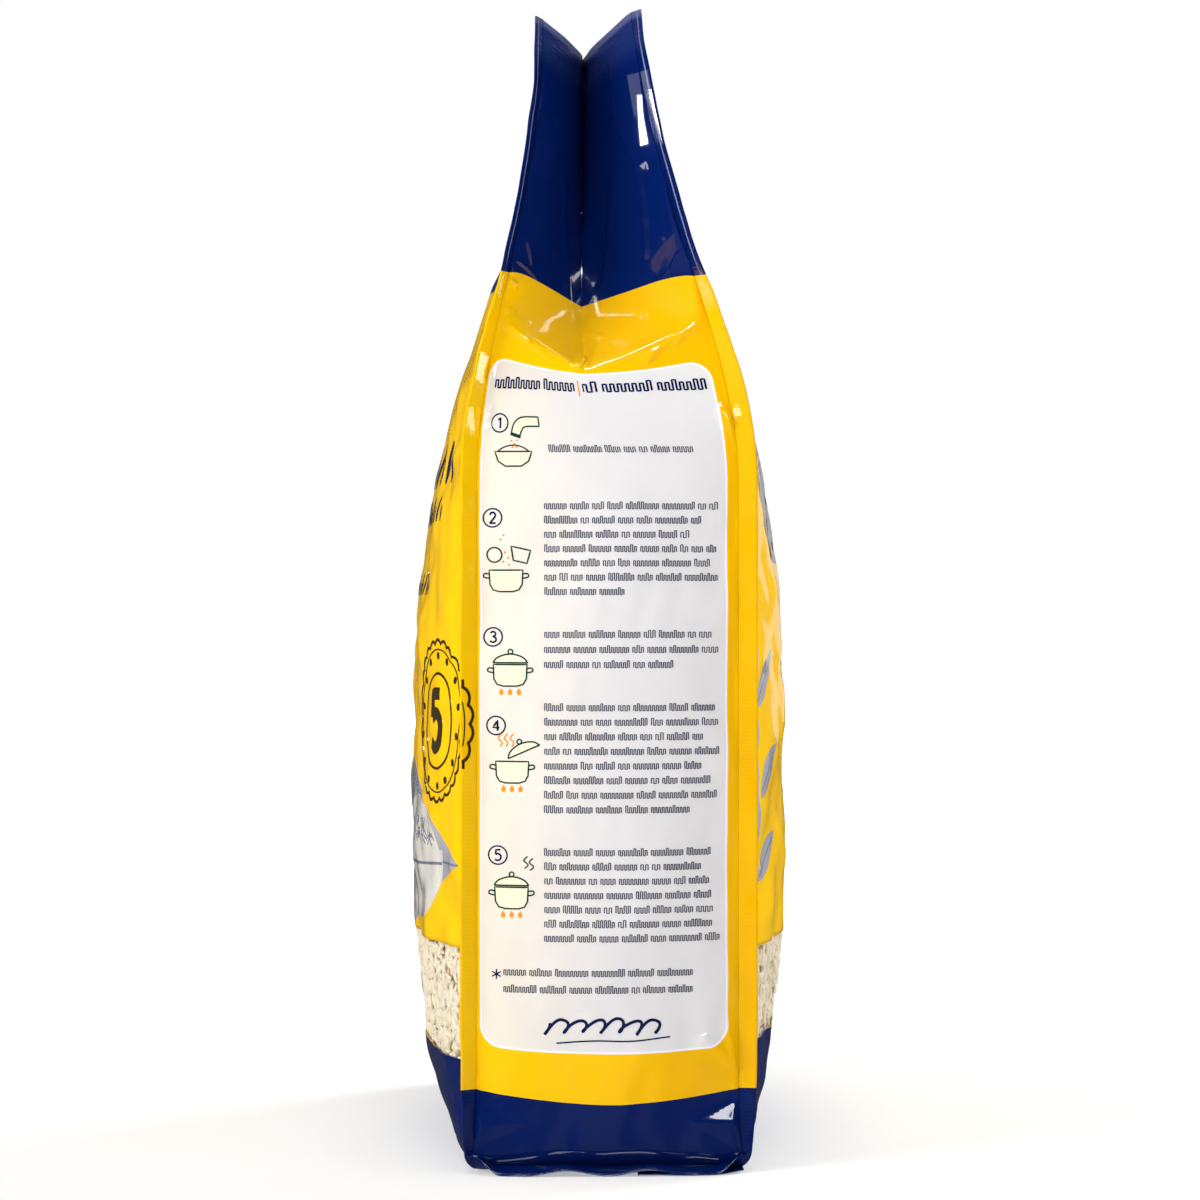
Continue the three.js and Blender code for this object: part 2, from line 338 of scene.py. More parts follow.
# Flat-faced pinches of a side: corners (across, up) anticlockwise, peak, height
SIDE_PINCHES = [
    ([(46.0, 5.0), (42.5, 23.8), (26.0, 16.5)], (40.5, 16.3), 1.9),
    ([(45.5, 10.0), (43.5, 37.0), (39.0, 30.0)], (42.8, 27.0), 0.9),
    ([(43.5, 30.0), (42.0, 52.0), (29.0, 44.0)], (40.0, 38.5), 0.9),
    ([(-46.0, 7.0), (-27.0, 16.0), (-42.0, 23.0)], (-40.5, 15.0), 1.3),
    ([(-44.5, 12.0), (-32.0, 27.0), (-42.5, 33.0)], (-41.0, 23.5), 0.7),
    ([(-43.0, 236.0), (-35.0, 248.0), (-41.5, 255.0)], (-40.0, 247.0), 0.9),
    ([(42.5, 236.0), (42.0, 256.0), (33.0, 251.0)], (39.5, 248.0), 1.0),
    ([(-41.8, 258.5), (-37.0, 258.5), (-35.5, 268.0), (-40.0, 269.5)], (-39.5, 260.0), 1.5),
    ([(-34.0, 293.8), (-29.5, 292.5), (-30.0, 289.0)], (-30.8, 290.8), 0.9),
    ([(-32.0, 279.0), (-27.5, 278.5), (-30.0, 283.0)], (-30.5, 280.0), 0.6),
    ([(-12.6, 262.5), (-6.5, 261.8), (-2.8, 275.5), (-7.4, 275.5)], (-8.0, 265.0), 2.0),
    ([(9.0, 263.5), (13.0, 264.5), (19.0, 270.5), (15.5, 270.5)], (14.0, 266.5), 0.9),
    ([(20.0, 269.0), (25.5, 273.0), (24.0, 276.0)], (22.5, 271.8), 0.8),
    ([(-31.0, 273.5), (-24.0, 269.5), (-26.0, 274.0)], (-26.0, 272.0), 0.7),
]

# Wrinkles of the empty neck, measured along the side from its middle crease and up the film
NECK_WRINKLES = [
    ((30.0, 318.0), (34.0, 342.0), (1.5, 4.0), 0.4),
    ((31.0, 382.0), (27.8, 352.0), (0.8, 2.2), 0.3),
    ((28.0, 364.0), (34.6, 339.0), (0.8, 2.2), 0.4),
    ((35.5, 341.5), (39.5, 340.5), (0.7, 0.9), 0.3),
    ((27.0, 309.0), (32.0, 326.0), (2.0, 3.0), 0.5),
    ((34.0, 325.0), (38.5, 322.0), (0.8, 1.0), 0.35),
    ((33.0, 317.0), (37.5, 314.5), (0.8, 1.2), 0.35),
    ((27.0, 300.5), (38.0, 304.5), (0.8, 1.0), 0.4),
    ((33.0, 302.0), (41.5, 309.5), (0.9, 1.6), 0.5),
    ((-24.0, 301.5), (-41.0, 304.5), (0.8, 1.0), 0.4),
    ((-30.0, 304.0), (-38.0, 313.0), (1.4, 2.4), 0.4),
    ((-4.0, 300.0), (-26.0, 345.0), (4.0, 3.0), 0.5),
    ((5.0, 300.0), (24.0, 345.0), (3.0, 5.0), 0.6),
]


# Wrinkles of half a broad panel, mirrored to its other half
PANEL_WRINKLES = [
    ((101.0, 258.0), (58.0, 236.0), (5.0, 8.0), 1.4),
    ((102.0, 270.0), (46.0, 262.0), (6.0, 6.0), 1.2),
    ((99.0, 283.0), (62.0, 292.0), (5.0, 7.0), 1.1),
    ((62.0, 352.0), (70.0, 300.0), (3.0, 6.0), 0.9),
    ((40.0, 350.0), (30.0, 296.0), (6.0, 9.0), 0.9),
    ((12.0, 348.0), (6.0, 305.0), (5.0, 5.0), 0.7),
    ((102.0, 8.0), (70.0, 24.0), (5.0, 7.0), 1.6),
    ((102.0, 10.0), (88.0, 36.0), (6.0, 4.0), 1.3),
    ((100.0, 180.0), (78.0, 172.0), (4.0, 6.0), 0.6),
    ((100.0, 96.0), (80.0, 104.0), (5.0, 5.0), 0.5),
]


def side_relief(y, z, u, v):
    """How far the film of a side stands out from the solid's form."""
    filled = 1 - ramp(v, 205, 245)
    clear_of_base = ramp(v, 2, 16)
    height = 0.35 * lumps(y, z, 34, 3) * filled * clear_of_base
    height += 0.12 * lumps(y, z, 11, 4) * filled * clear_of_base
    height += 0.22 * lumps(u, v, 26, 5) * ramp(v, 262, 290)
    for start, end, widths, rise in SIDE_WRINKLES:
        height += wrinkle(y, z, start, end, widths, rise)
    for corners, peak, rise in SIDE_PINCHES:
        height += facets(y, z, corners, peak, rise)
    for start, end, widths, rise in NECK_WRINKLES:
        height += wrinkle(u, v, start, end, widths, rise)
    return height * ramp(HALF_SIDE - np.abs(u), 0, 1.5)


def panel_relief(u, v, seed):
    """How far the film of a broad panel stands out from the solid's form."""
    filled = 1 - ramp(v, 240, 285)
    at_corner = ramp(HALF_WIDTH - np.abs(u), 0, 5)
    height = 0.75 * lumps(u, v, 42, seed) * filled
    height += 0.25 * lumps(u, v, 15, seed + 1) * filled
    height += 0.45 * lumps(u, v * 0.45, 22, seed + 2) * ramp(v, 250, 300) * (1 - ramp(v, 335, 358))
    for mirror in (-1, 1):
        for start, end, widths, rise in PANEL_WRINKLES:
            height += wrinkle(u * mirror, v, start, end, widths, rise)
    return height * at_corner * ramp(v, 1, 14)


# Meshes


def grid_normals(points):
    across = np.gradient(points, axis=1)
    up = np.gradient(points, axis=0)
    normal = np.cross(across, up)
    return normal / np.maximum(np.linalg.norm(normal, axis=-1, keepdims=True), 1e-9)


class Sheet:
    """One panel of film as a grid of points in rows up the panel, with its print coordinates."""

    def __init__(self, points, u):
        self.u = np.asarray(u, float)
        self.points = points
        steps = np.linalg.norm(np.diff(points, axis=0), axis=-1)
        self.v = np.concatenate([np.zeros((1, points.shape[1])), np.cumsum(steps, axis=0)])
        self.top = self.v[-1].copy()
        self.normals = grid_normals(points)

    def raise_by(self, height):
        self.points = self.points + self.normals * height[..., None]
        self.normals = grid_normals(self.points)

    def mirrored(self):
        """The same panel on the -X side, with its print reading the right way round."""
        twin = copy.copy(self)
        twin.v = self.v[:, ::-1]
        twin.top = self.top[::-1]
        twin.points = self.points[:, ::-1] * (-1, 1, 1)
        twin.normals = self.normals[:, ::-1] * (-1, 1, 1)
        return twin

    def twist(self):
        """Leans the neck a little less towards the -X end."""
        x, z = self.points[..., 0], self.points[..., 2]
        away = (HALF_WIDTH - x) / (2 * HALF_WIDTH)
        self.points[..., 1] += NECK_TWIST * away * lean(z) / LEAN

    def band(self, low, high):
        """The rows between two heights of the print, with new rows exactly at those heights."""
        part = copy.copy(self)
        middle = self.v.mean(axis=1)
        rows = np.arange(len(middle), dtype=float)
        ends = np.interp([low, high], middle, rows)
        inner = rows[(rows > ends[0] + 0.05) & (rows < ends[1] - 0.05)]
        at = np.concatenate([[ends[0]], inner, [ends[1]]])
        first = np.clip(at.astype(int), 0, len(rows) - 2)
        share = (at - first)[:, None]
        part.v = lerp(self.v[first], self.v[first + 1], share)
        part.points = lerp(self.points[first], self.points[first + 1], share[..., None])
        part.normals = lerp(self.normals[first], self.normals[first + 1], share[..., None])
        return part

    def place(self, uv, rise):
        """Points that far above the film at places of the print."""
        out = np.empty((len(uv), 3))
        columns = np.arange(len(self.u))
        rows = np.arange(len(self.v))
        for i, (u, v) in enumerate(uv):
            c = float(np.interp(u, self.u, columns))
            c0 = min(int(c), len(columns) - 2)
            fc = c - c0
            r = float(np.interp(v, lerp(self.v[:, c0], self.v[:, c0 + 1], fc), rows))
            r0 = min(int(r), len(rows) - 2)
            fr = r - r0
            weights = ((1 - fr) * (1 - fc), (1 - fr) * fc, fr * (1 - fc), fr * fc)
            spots = ((r0, c0), (r0, c0 + 1), (r0 + 1, c0), (r0 + 1, c0 + 1))
            point = sum(w * self.points[s] for w, s in zip(weights, spots))
            normal = sum(w * self.normals[s] for w, s in zip(weights, spots))
            out[i] = point + normal * rise / np.linalg.norm(normal)
        return out


def mesh_object(name, points, faces, material, smooth=True, maps=None):
    """A mesh piece from points in mm; maps gives the places of its points, by the map's name."""
    mesh = bpy.data.meshes.new(name)
    mesh.from_pydata([tuple(p) for p in np.asarray(points) * MM], [], faces)
    mesh.materials.append(material)
    mesh.polygons.foreach_set("use_smooth", np.full(len(mesh.polygons), smooth))
    corner = np.empty(len(mesh.loops), np.int32)
    mesh.loops.foreach_get("vertex_index", corner)
    for map_name, places in (maps or {}).items():
        layer = mesh.uv_layers.new(name=map_name)
        layer.uv.foreach_set("vector", np.asarray(places, np.float32)[corner].ravel())
    mesh.validate()
    piece = bpy.data.objects.new(name, mesh)
    bpy.context.scene.collection.objects.link(piece)
    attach(piece, BODY)
    return piece


def sheet_parts(sheet, thickness, first):
    """Points, faces and print places of a closed thin sheet; first is the number of its first point."""
    rows, columns = sheet.points.shape[:2]
    outer = sheet.points.reshape(-1, 3)
    inner = (sheet.points - sheet.normals * thickness).reshape(-1, 3)
    number = np.arange(rows * columns).reshape(rows, columns)
    a, b, c, d = (n.ravel() for n in (number[:-1, :-1], number[:-1, 1:], number[1:, 1:], number[1:, :-1]))
    quads = np.stack([a, b, c, d], 1)
    edge = np.concatenate([number[0], number[1:, -1], number[-1, -2::-1], number[-2:0:-1, 0]])
    following = np.roll(edge, -1)
    count = rows * columns
    wall = np.stack([following, edge, edge + count, following + count], 1)
    faces = np.concatenate([quads, quads[:, ::-1] + count, wall]) + first
    across = np.broadcast_to(sheet.u, (rows, columns))
    places = np.stack([across, sheet.v, sheet.top - sheet.v], -1).reshape(-1, 3)
    return np.concatenate([outer, inner]), faces, np.concatenate([places, places])


def joined_sheets(sheets, thickness):
    """Points, faces and print places of several closed thin sheets as one mesh."""
    points, faces, places = [], [], []
    for sheet in sheets:
        p, f, uv = sheet_parts(sheet, thickness, sum(map(len, points)))
        points.append(p)
        faces.append(f)
        places.append(uv)
    return np.concatenate(points), np.concatenate(faces).tolist(), np.concatenate(places)


def film_piece(name, sheets, material, thickness=FILM):
    points, faces, places = joined_sheets(sheets, thickness)
    flat = places[:, :2]
    spread = (flat - flat.min(0)) / (flat.max(0) - flat.min(0))
    maps = {"print": flat, "from_top": places[:, [0, 2]], "OFBake": 0.01 + 0.98 * spread}
    return mesh_object(name, points, faces, material, maps=maps)


# Materials


def linear(rgb):
    """Blender's colour of an sRGB one given in 0 to 255."""
    out = [c / 255 for c in rgb]
    return tuple(c / 12.92 if c <= 0.04045 else ((c + 0.055) / 1.055) ** 2.4 for c in out) + (1.0,)


class Nodes:
    """The node tree of a material or of the world, with short calls for its maths."""

    def __init__(self, owner):
        owner.use_nodes = True
        self.owner = owner
        self.tree = owner.node_tree
        self.tree.nodes.clear()

    def add(self, kind, inputs=None, **settings):
        """A node with its settings, and values or other nodes' outputs for its inputs."""
        node = self.tree.nodes.new(kind)
        for key, value in settings.items():
            setattr(node, key, value)
        for key, value in (inputs or {}).items():
            if isinstance(value, bpy.types.NodeSocket):
                self.tree.links.new(value, node.inputs[key])
            else:
                node.inputs[key].default_value = value
        return node

    def maths(self, operation, *values, clamp=False):
        inputs = dict(enumerate(values))
        return self.add("ShaderNodeMath", inputs, operation=operation, use_clamp=clamp).outputs[0]

    def blend(self, share, a, b):
        """Colour a where the share is 0, and colour b where it is 1."""
        return self.add("ShaderNodeMix", {"Factor": share, 6: a, 7: b}, data_type="RGBA").outputs[2]

    def lerp(self, share, a, b):
        """Value a where the share is 0, and value b where it is 1."""
        return self.add("ShaderNodeMix", {"Factor": share, "A": a, "B": b}).outputs[0]

    def ramp(self, value, low, high, start=0.0, end=1.0):
        """From start to end, as a value goes from low to high."""
        inputs = {"Value": value, "From Min": low, "From Max": high, "To Min": start, "To Max": end}
        return self.add("ShaderNodeMapRange", inputs, interpolation_type="SMOOTHSTEP").outputs[0]

    def above(self, value, edge, soft=0.08):
        """0 below an edge and 1 above it, over a short ramp."""
        return self.ramp(self.maths("SUBTRACT", value, edge), -soft, soft)

    def below(self, value, edge, soft):
        """1 below an edge and 0 above it."""
        return self.maths("SUBTRACT", 1.0, self.above(value, edge, soft))

    def place_on(self, uv_map):
        node = self.add("ShaderNodeUVMap", uv_map=uv_map)
        parts = self.add("ShaderNodeSeparateXYZ", {0: node.outputs[0]})
        return parts.outputs[0], parts.outputs[1]

    def noise(self, scale, detail):
        """Unevenness between 0 and 1, with about that many waves to a metre."""
        places = self.add("ShaderNodeTexCoord").outputs["Object"]
        inputs = {"Scale": scale, "Detail": detail, "Vector": places}
        return self.add("ShaderNodeTexNoise", inputs).outputs["Fac"]

    def finish(self, shader, output="ShaderNodeOutputMaterial"):
        self.add(output, {"Surface": shader})
        return self.owner


def material_nodes(name):
    return Nodes(bpy.data.materials.new(name))


def glossy_film(nodes, colour, pressed=None, skin=1.0):
    """The shader of printed film: colour under a clear glossy skin with a faint ripple.

    pressed is the pattern of a weld, 0 to 1, that dents the film; skin is how much gloss it has.
    """
    uneven = nodes.noise(TONE_WAVES, 3)
    brightness = nodes.maths("MULTIPLY_ADD", uneven, -0.10, 1.05)
    shade = nodes.add("ShaderNodeHueSaturation", {"Color": colour, "Value": brightness})
    height = nodes.noise(RIPPLE_WAVES, 2)
    if pressed is not None:
        height = nodes.maths("MULTIPLY_ADD", pressed, WELD_DENT, height)
    bump = nodes.add("ShaderNodeBump", {
        "Strength": RIPPLE_STRENGTH,
        "Distance": RIPPLE_HEIGHT,
        "Height": height,
    })
    return nodes.add("ShaderNodeBsdfPrincipled", {
        "Base Color": shade.outputs[0],
        "Roughness": nodes.maths("MULTIPLY_ADD", uneven, 0.08, FILM_ROUGHNESS),
        "IOR": FILM_IOR,
        "Specular IOR Level": INK_GLOSS,
        "Coat Weight": skin,
        "Coat Roughness": SKIN_ROUGHNESS,
        "Normal": bump.outputs[0],
        "Coat Normal": bump.outputs[0],
    }).outputs[0]


def ribs(nodes, place, pitch):
    return nodes.maths("SINE", nodes.maths("MULTIPLY", place, 2 * math.pi / pitch))


def top_seal(nodes, colour):
    """The welded band along the top edge: painted a little lighter as sheen off its ribs, with fine level
    ribs and a pale cut edge.
    """
    down = nodes.place_on("from_top")[1]
    welded = nodes.below(down, SEAL_BAND, 4.0)
    # painted sheen on the welded band
    colour = nodes.blend(nodes.maths("MULTIPLY", welded, 0.4), colour, linear(NAVY_SEAL_SHEEN))
    rim = nodes.below(down, SEAL_RIM, 0.8)
    colour = nodes.blend(nodes.maths("MULTIPLY", rim, 0.45), colour, linear(CUT_EDGE))
    colour = nodes.blend(nodes.above(down, 0.4, 0.12), linear(CUT_EDGE), colour)
    return colour, nodes.maths("MULTIPLY", welded, ribs(nodes, down, SEAL_RIB))


def rounded_field(nodes, u, v, low, high, radius):
    """How far a place is outside a rounded rectangle of the print."""
    past = []
    for value, a, b in zip((u, v), low, high):
        off = nodes.maths("ABSOLUTE", nodes.maths("SUBTRACT", value, (a + b) / 2))
        past.append(nodes.maths("SUBTRACT", off, (b - a) / 2 - radius))
    squares = [nodes.maths("POWER", nodes.maths("MAXIMUM", value, 0.0), 2.0) for value in past]
    corner = nodes.maths("SQRT", nodes.maths("ADD", *squares))
    inside = nodes.maths("MINIMUM", nodes.maths("MAXIMUM", *past), 0.0)
    return nodes.maths("SUBTRACT", nodes.maths("ADD", corner, inside), radius)


# The label of a side: its lower left and upper right corners, across and up the print
LABEL_LOW = (-42.0, 46.4)
LABEL_HIGH = (39.2, 272.2)
LABEL_RADIUS = 7.0
LABEL_RIM_WIDTH = 0.7
LABEL_SAG = 2.2            # how much lower the label is printed in its middle
LABEL_TOP_SAG = 4.2
LABEL_TOP_START = 220.0    # middle of the stretch where one sag passes into the other
LABEL_SAG_REACH = 41.0
LABEL_SHADE_REACH = 0.6     # share of the label's width over which its painted shade turns it cooler
SHADED_YELLOW_START = 8.0    # middle of the stretch of a side where the painted shade darkens the yellow
SHADED_YELLOW_SOFTNESS = 24.0


def side_colour(nodes, u, v):
    """The yellow of a side, darkened by painted shade towards its back corner, with its pale rounded label,
    which hangs a little in its middle and is painted warmer towards the front and cooler towards the back as
    light and shade.
    """
    yellow = nodes.blend(
        nodes.above(u, SHADED_YELLOW_START, SHADED_YELLOW_SOFTNESS), linear(YELLOW), linear(YELLOW_SHADED),
    )
    share = nodes.maths("POWER", nodes.maths("DIVIDE", u, LABEL_SAG_REACH), 2.0)
    upper = nodes.above(v, LABEL_TOP_START, 40.0)
    sag_here = nodes.maths("MULTIPLY_ADD", upper, LABEL_TOP_SAG - LABEL_SAG, LABEL_SAG)
    dip = nodes.maths("MULTIPLY", nodes.maths("SUBTRACT", 1.0, share), sag_here)
    outside = rounded_field(nodes, u, nodes.maths("ADD", v, dip), LABEL_LOW, LABEL_HIGH, LABEL_RADIUS)
    # painted light and shade: warm and lighter towards the front, cool and greyer towards the back
    shade_end = LABEL_LOW[0] + LABEL_SHADE_REACH * (LABEL_HIGH[0] - LABEL_LOW[0])
    pale = nodes.blend(nodes.ramp(u, LABEL_LOW[0], shade_end), linear(LABEL_LIT_WARM), linear(LABEL_SHADED_COOL))
    pale = nodes.blend(nodes.above(outside, -LABEL_RIM_WIDTH), pale, linear(LABEL_RIM))
    return nodes.blend(nodes.above(outside, 0.0), pale, yellow)


def side_film():
    """A pleated side: navy above and below with curved edges, and a label on the yellow between."""
    nodes = material_nodes("side_film")
    u, v = nodes.place_on("print")
    sideways = nodes.maths("DIVIDE", nodes.maths("ABSOLUTE", u), HALF_SIDE)
    top = nodes.maths("MULTIPLY_ADD", sideways, -NAVY_TOP_RISE, NAVY_TOP_START + NAVY_TOP_RISE)
    colour = nodes.blend(nodes.above(v, top), side_colour(nodes, u, v), linear(NAVY))
    across = nodes.maths("POWER", sideways, 1.6)
    base = nodes.maths("MULTIPLY_ADD", across, BASE_BAND_SAG, NAVY_BASE_END - BASE_BAND_SAG)
    colour = nodes.blend(nodes.above(v, base), linear(NAVY), colour)
    colour, pressed = top_seal(nodes, colour)
    return nodes.finish(glossy_film(nodes, colour, pressed))


def panel_film(name, base_end):
    """A broad panel: navy above and below, and yellow between."""
    nodes = material_nodes(name)
    v = nodes.place_on("print")[1]
    colour = nodes.blend(nodes.above(v, NAVY_TOP_START), linear(YELLOW), linear(NAVY))
    colour = nodes.blend(nodes.above(v, base_end), linear(NAVY), colour)
    colour, pressed = top_seal(nodes, colour)
    return nodes.finish(glossy_film(nodes, colour, pressed, PANEL_SKIN))


def fin_film():
    """The welded corner fins: the panels' colours with a fine hatch pressed into the weld, a painted
    highlight line along the weld on the neck, and painted shade that darkens the yellow of the back fins.
    """
    nodes = material_nodes("fin_film")
    u, v = nodes.place_on("print")
    # painted shade: the back fins get a darker yellow, as if less lit
    yellow = nodes.blend(nodes.above(u, 0.0, 1.0), linear(YELLOW), linear(YELLOW_SHADED))
    colour = nodes.blend(nodes.above(v, NAVY_TOP_START), yellow, linear(NAVY))
    colour = nodes.blend(nodes.above(v, NAVY_BASE_END), linear(NAVY), colour)
    outwards = nodes.maths("SUBTRACT", nodes.maths("ABSOLUTE", u), HALF_SIDE)
    # painted highlight: a pale line along the weld, where it would catch light
    off_highlight = nodes.maths("ABSOLUTE", nodes.maths("SUBTRACT", outwards, WELD_HIGHLIGHT_PLACE * FIN_WIDTH))
    faint = nodes.maths("MULTIPLY", nodes.above(v, NAVY_TOP_START + 4, 6.0), 0.8)
    line = nodes.maths("MULTIPLY", nodes.below(off_highlight, 0.4, 0.25), faint)
    colour = nodes.blend(line, colour, linear(WELD_HIGHLIGHT))
    colour, pressed = top_seal(nodes, colour)
    hatch = nodes.maths("MULTIPLY", ribs(nodes, v, WELD_HATCH), nodes.above(outwards, 1.0, 0.5))
    hatch = nodes.maths("MULTIPLY", hatch, 0.4)
    return nodes.finish(glossy_film(nodes, colour, nodes.maths("ADD", pressed, hatch)))


def plain_film(name, rgb):
    nodes = material_nodes(name)
    return nodes.finish(glossy_film(nodes, linear(rgb)))


def clear_film():
    """Clear film: what is behind shows through, under its own gloss."""
    nodes = material_nodes("window_film")
    clear = nodes.add("ShaderNodeBsdfTransparent", {"Color": CLEAR_TINT})
    gloss = nodes.add("ShaderNodeBsdfAnisotropic", {"Color": WHITE, "Roughness": 0.08})
    fresnel = nodes.add("ShaderNodeFresnel", {"IOR": 1.35})
    share = nodes.maths("MULTIPLY_ADD", fresnel.outputs[0], CLEAR_GLOSS, CLEAR_HAZE, clamp=True)
    mix = nodes.add("ShaderNodeMixShader", {0: share, 1: clear.outputs[0], 2: gloss.outputs[0]})
    return nodes.finish(mix.outputs[0])


def grain_material():
    """Milled rice: slightly clear grains, each a little different."""
    nodes = material_nodes("rice_grain")
    light, dark = (linear(rgb) for rgb in GRAIN_COLOURS)
    return nodes.finish(nodes.add("ShaderNodeBsdfPrincipled", {
        "Base Color": nodes.blend(nodes.noise(240, 1), light, dark),
        "Roughness": 0.42,
        "Subsurface Weight": 0.1,
        "Subsurface Radius": (0.004, 0.003, 0.002),
        "Subsurface Scale": 0.4,
    }).outputs[0])


def bed_material():
    nodes = material_nodes("rice_bed")
    light, dark = (linear(rgb) for rgb in BED_COLOURS_SHADED)
    return nodes.finish(nodes.add("ShaderNodeBsdfPrincipled", {
        "Base Color": nodes.blend(nodes.noise(420, 3), light, dark),
        "Roughness": 0.7,
    }).outputs[0])


# Film panels


def levels(*stretches):
    """Heights of a sheet's rows up to the top edge; a stretch is the height it starts at and its step."""
    ends = [start for start, _ in stretches[1:]] + [SEAL_EDGE]
    rows = []
    for (low, step), high in zip(stretches, ends):
        count = max(1, round((high - low) / step))
        rows += list(low + (high - low) * np.arange(count) / count)
    return np.array(rows + [SEAL_EDGE])


def side_sheet():
    """The +X side, with close rows where it has wrinkles and close columns at its corners."""
    rows = levels((0, 0.55), (SIDE_BASE_ROUNDING, 0.9), (50, 2.4), (222, 0.8), (300, 1.3))
    edge = np.linspace(0.76, 1, 22)
    half = np.concatenate([[0.006], np.linspace(0, 0.76, 38)[1:-1], edge])
    t = np.concatenate([-half[::-1], [0], half])
    sheet = Sheet(side_points(t[None, :], rows[:, None]), t * HALF_SIDE)
    level = int(np.searchsorted(rows, PRINT_LEVEL))
    sheet.v += sheet.v[level, 0] - sheet.v[level]
    sheet.top = sheet.v[-1].copy()
    across, up = sheet.points[..., 1], sheet.points[..., 2]
    sheet.raise_by(side_relief(across, up, np.broadcast_to(sheet.u, across.shape), sheet.v))
    return sheet


def panel_sheet(side, seed):
    """The broad front panel (side -1) or back panel (side 1)."""
    heights = warped_height(levels((0, 1.0), (BASE_ROUNDING, 1.6), (40, 2.4), (230, 1.5)), 1.0)
    edge = HALF_WIDTH - np.array([0, 0.8, 1.8, 3.2, 5.0])
    middle = np.linspace(-97, 97, 87)
    u = np.concatenate([-edge, middle, edge[::-1]])
    x = u * -side
    points = panel_points(x[None, :], heights[:, None], side)
    sheet = Sheet(points, u)
    sheet.raise_by(panel_relief(np.broadcast_to(u, sheet.v.shape), sheet.v, seed))
    return sheet


def fin_sheet(side, body_angle, neck_angle, seed):
    """The welded fin along the corner of the +X side; side is -1 in front and 1 at the back."""
    rows = levels((0, 1.0), (30, 2.5), (225, 1.3))
    corner = side_points(np.array([[float(side)]]), rows[:, None])
    turn = ramp(warped_height(rows, 1.0), TAPER_START, FIN_TURN_END)
    angle = np.radians(lerp(body_angle, neck_angle, turn))[:, None]
    out = np.stack([np.cos(angle), side * np.sin(angle), 0 * angle], -1)
    width = FIN_WIDTH * (1 - np.exp(-(rows + 1.5) / FIN_WIDENING))[:, None]
    share = np.linspace(0, 1, 9)
    if side < 0:
        share = share[::-1]
    points = corner + out * (width * share - FIN_OVERLAP)[..., None]
    points[..., 2] = np.maximum(points[..., 2], 0.1)
    sheet = Sheet(points, side * (HALF_SIDE + FIN_WIDTH * share))
    corner_run = np.concatenate([[0], np.cumsum(np.linalg.norm(np.diff(corner[:, 0], axis=0), axis=-1))])
    sheet.v = np.repeat(corner_run[:, None], len(share), axis=1)
    sheet.top = sheet.v[-1].copy()
    wave = FIN_WAVE * lumps(sheet.u * 0.5, sheet.v, 24, seed)
    wave += FIN_RIPPLE * lumps(sheet.u * 0.3, sheet.v, 9, seed + 1)
    calmer = (1 - 0.65 * ramp(sheet.v, 260, 310)) * ramp(sheet.v, 0, 20)
    sheet.raise_by(wave * calmer * ramp(share, 0.05, 1.0)[None, :])
    return sheet


def lip_wave(y):
    """Height of the front lip's free edge above the floor, from the side's middle outwards."""
    t = y / (HALF_SIDE + 1)
    wave = (1 - np.cos(2 * math.pi * t / 0.62)) / 2
    return 1.7 * wave * (1 - ramp(np.abs(t), 0.55, 0.75)) + 5.5 * ramp(np.abs(t), 0.8, 1)


def lip_sheet(start, end, root, reach, lift):
    """A seam lip of the base, from start to end along the side, standing out under it.

    root is its line under the sack, outwards and up; lift is how much of the full wave it has.
    """
    y = np.linspace(start, end, 121)
    share = np.linspace(1, 0, 11)[:, None]
    s = np.clip(np.abs(y) / (HALF_SIDE + 4), 0, 1)
    width = reach * (1 - s**6) + 0.5
    tip_height = np.maximum(LIP_CLEARANCE, lip_wave(y) * lift + LIP_CLEARANCE)
    x = lerp(root[0], HALF_WIDTH + width, share)
    fall = share**1.4
    z = lerp(root[1], tip_height, fall) + 0.5 * lumps(y, x, 17, 31) * share * (1 - share)
    z = np.maximum(z, LIP_CLEARANCE)
    points = np.stack([x, np.broadcast_to(y, x.shape), z], -1)
    sheet = Sheet(points, y)
    sheet.v = 12 * (1 - share) + 0 * y
    sheet.top = sheet.v[-1] + 100
    return sheet


def base_sheet(front, back, side):
    """The flat film under the sack, spread between the lowest rings of the four panels."""
    across = np.linspace(-1, 1, 61)
    along = np.linspace(-1, 1, 41)

    def ring(sheet, places, at):
        return np.stack([np.interp(at, places, sheet.points[0][:, k]) for k in range(3)], -1)

    low = ring(front, front.u / HALF_WIDTH, across)
    high = ring(back, back.u / HALF_WIDTH, -across)
    right = ring(side, side.u / HALF_SIDE, along)
    left = right * (-1, 1, 1)
    a = (across[None, :, None] + 1) / 2
    b = (along[:, None, None] + 1) / 2
    points = lerp(low[None], high[None], b) + lerp(left[:, None], right[:, None], a)
    corners = lerp(lerp(low[0], low[-1], a), lerp(high[0], high[-1], a), b)
    points = points - corners
    points[..., 2] = 0.0
    sheet = Sheet(points[:, ::-1], across * HALF_WIDTH)
    sheet.normals[:] = (0, 0, -1)
    return sheet


side = side_sheet()
front = panel_sheet(-1, 11)
back = panel_sheet(1, 41)
front_fin = fin_sheet(-1, FRONT_FIN_ANGLE, FRONT_NECK_FIN_ANGLE, 21)
back_fin = fin_sheet(1, BACK_FIN_ANGLE, BACK_NECK_FIN_ANGLE, 25)
left_side = side.mirrored()
front_fin_left = front_fin.mirrored()
back_fin_left = back_fin.mirrored()
for sheet in (side, front, back, front_fin, back_fin, left_side, front_fin_left, back_fin_left):
    sheet.twist()


def run_at(sheet, height):
    """How far up the film a height above the floor is."""
    return float(np.interp(height, sheet.points[..., 2].mean(axis=1), sheet.v.mean(axis=1)))


front_window = [run_at(front, z) for z in WINDOW_FRONT]
back_window = [run_at(back, z) for z in WINDOW_BACK]

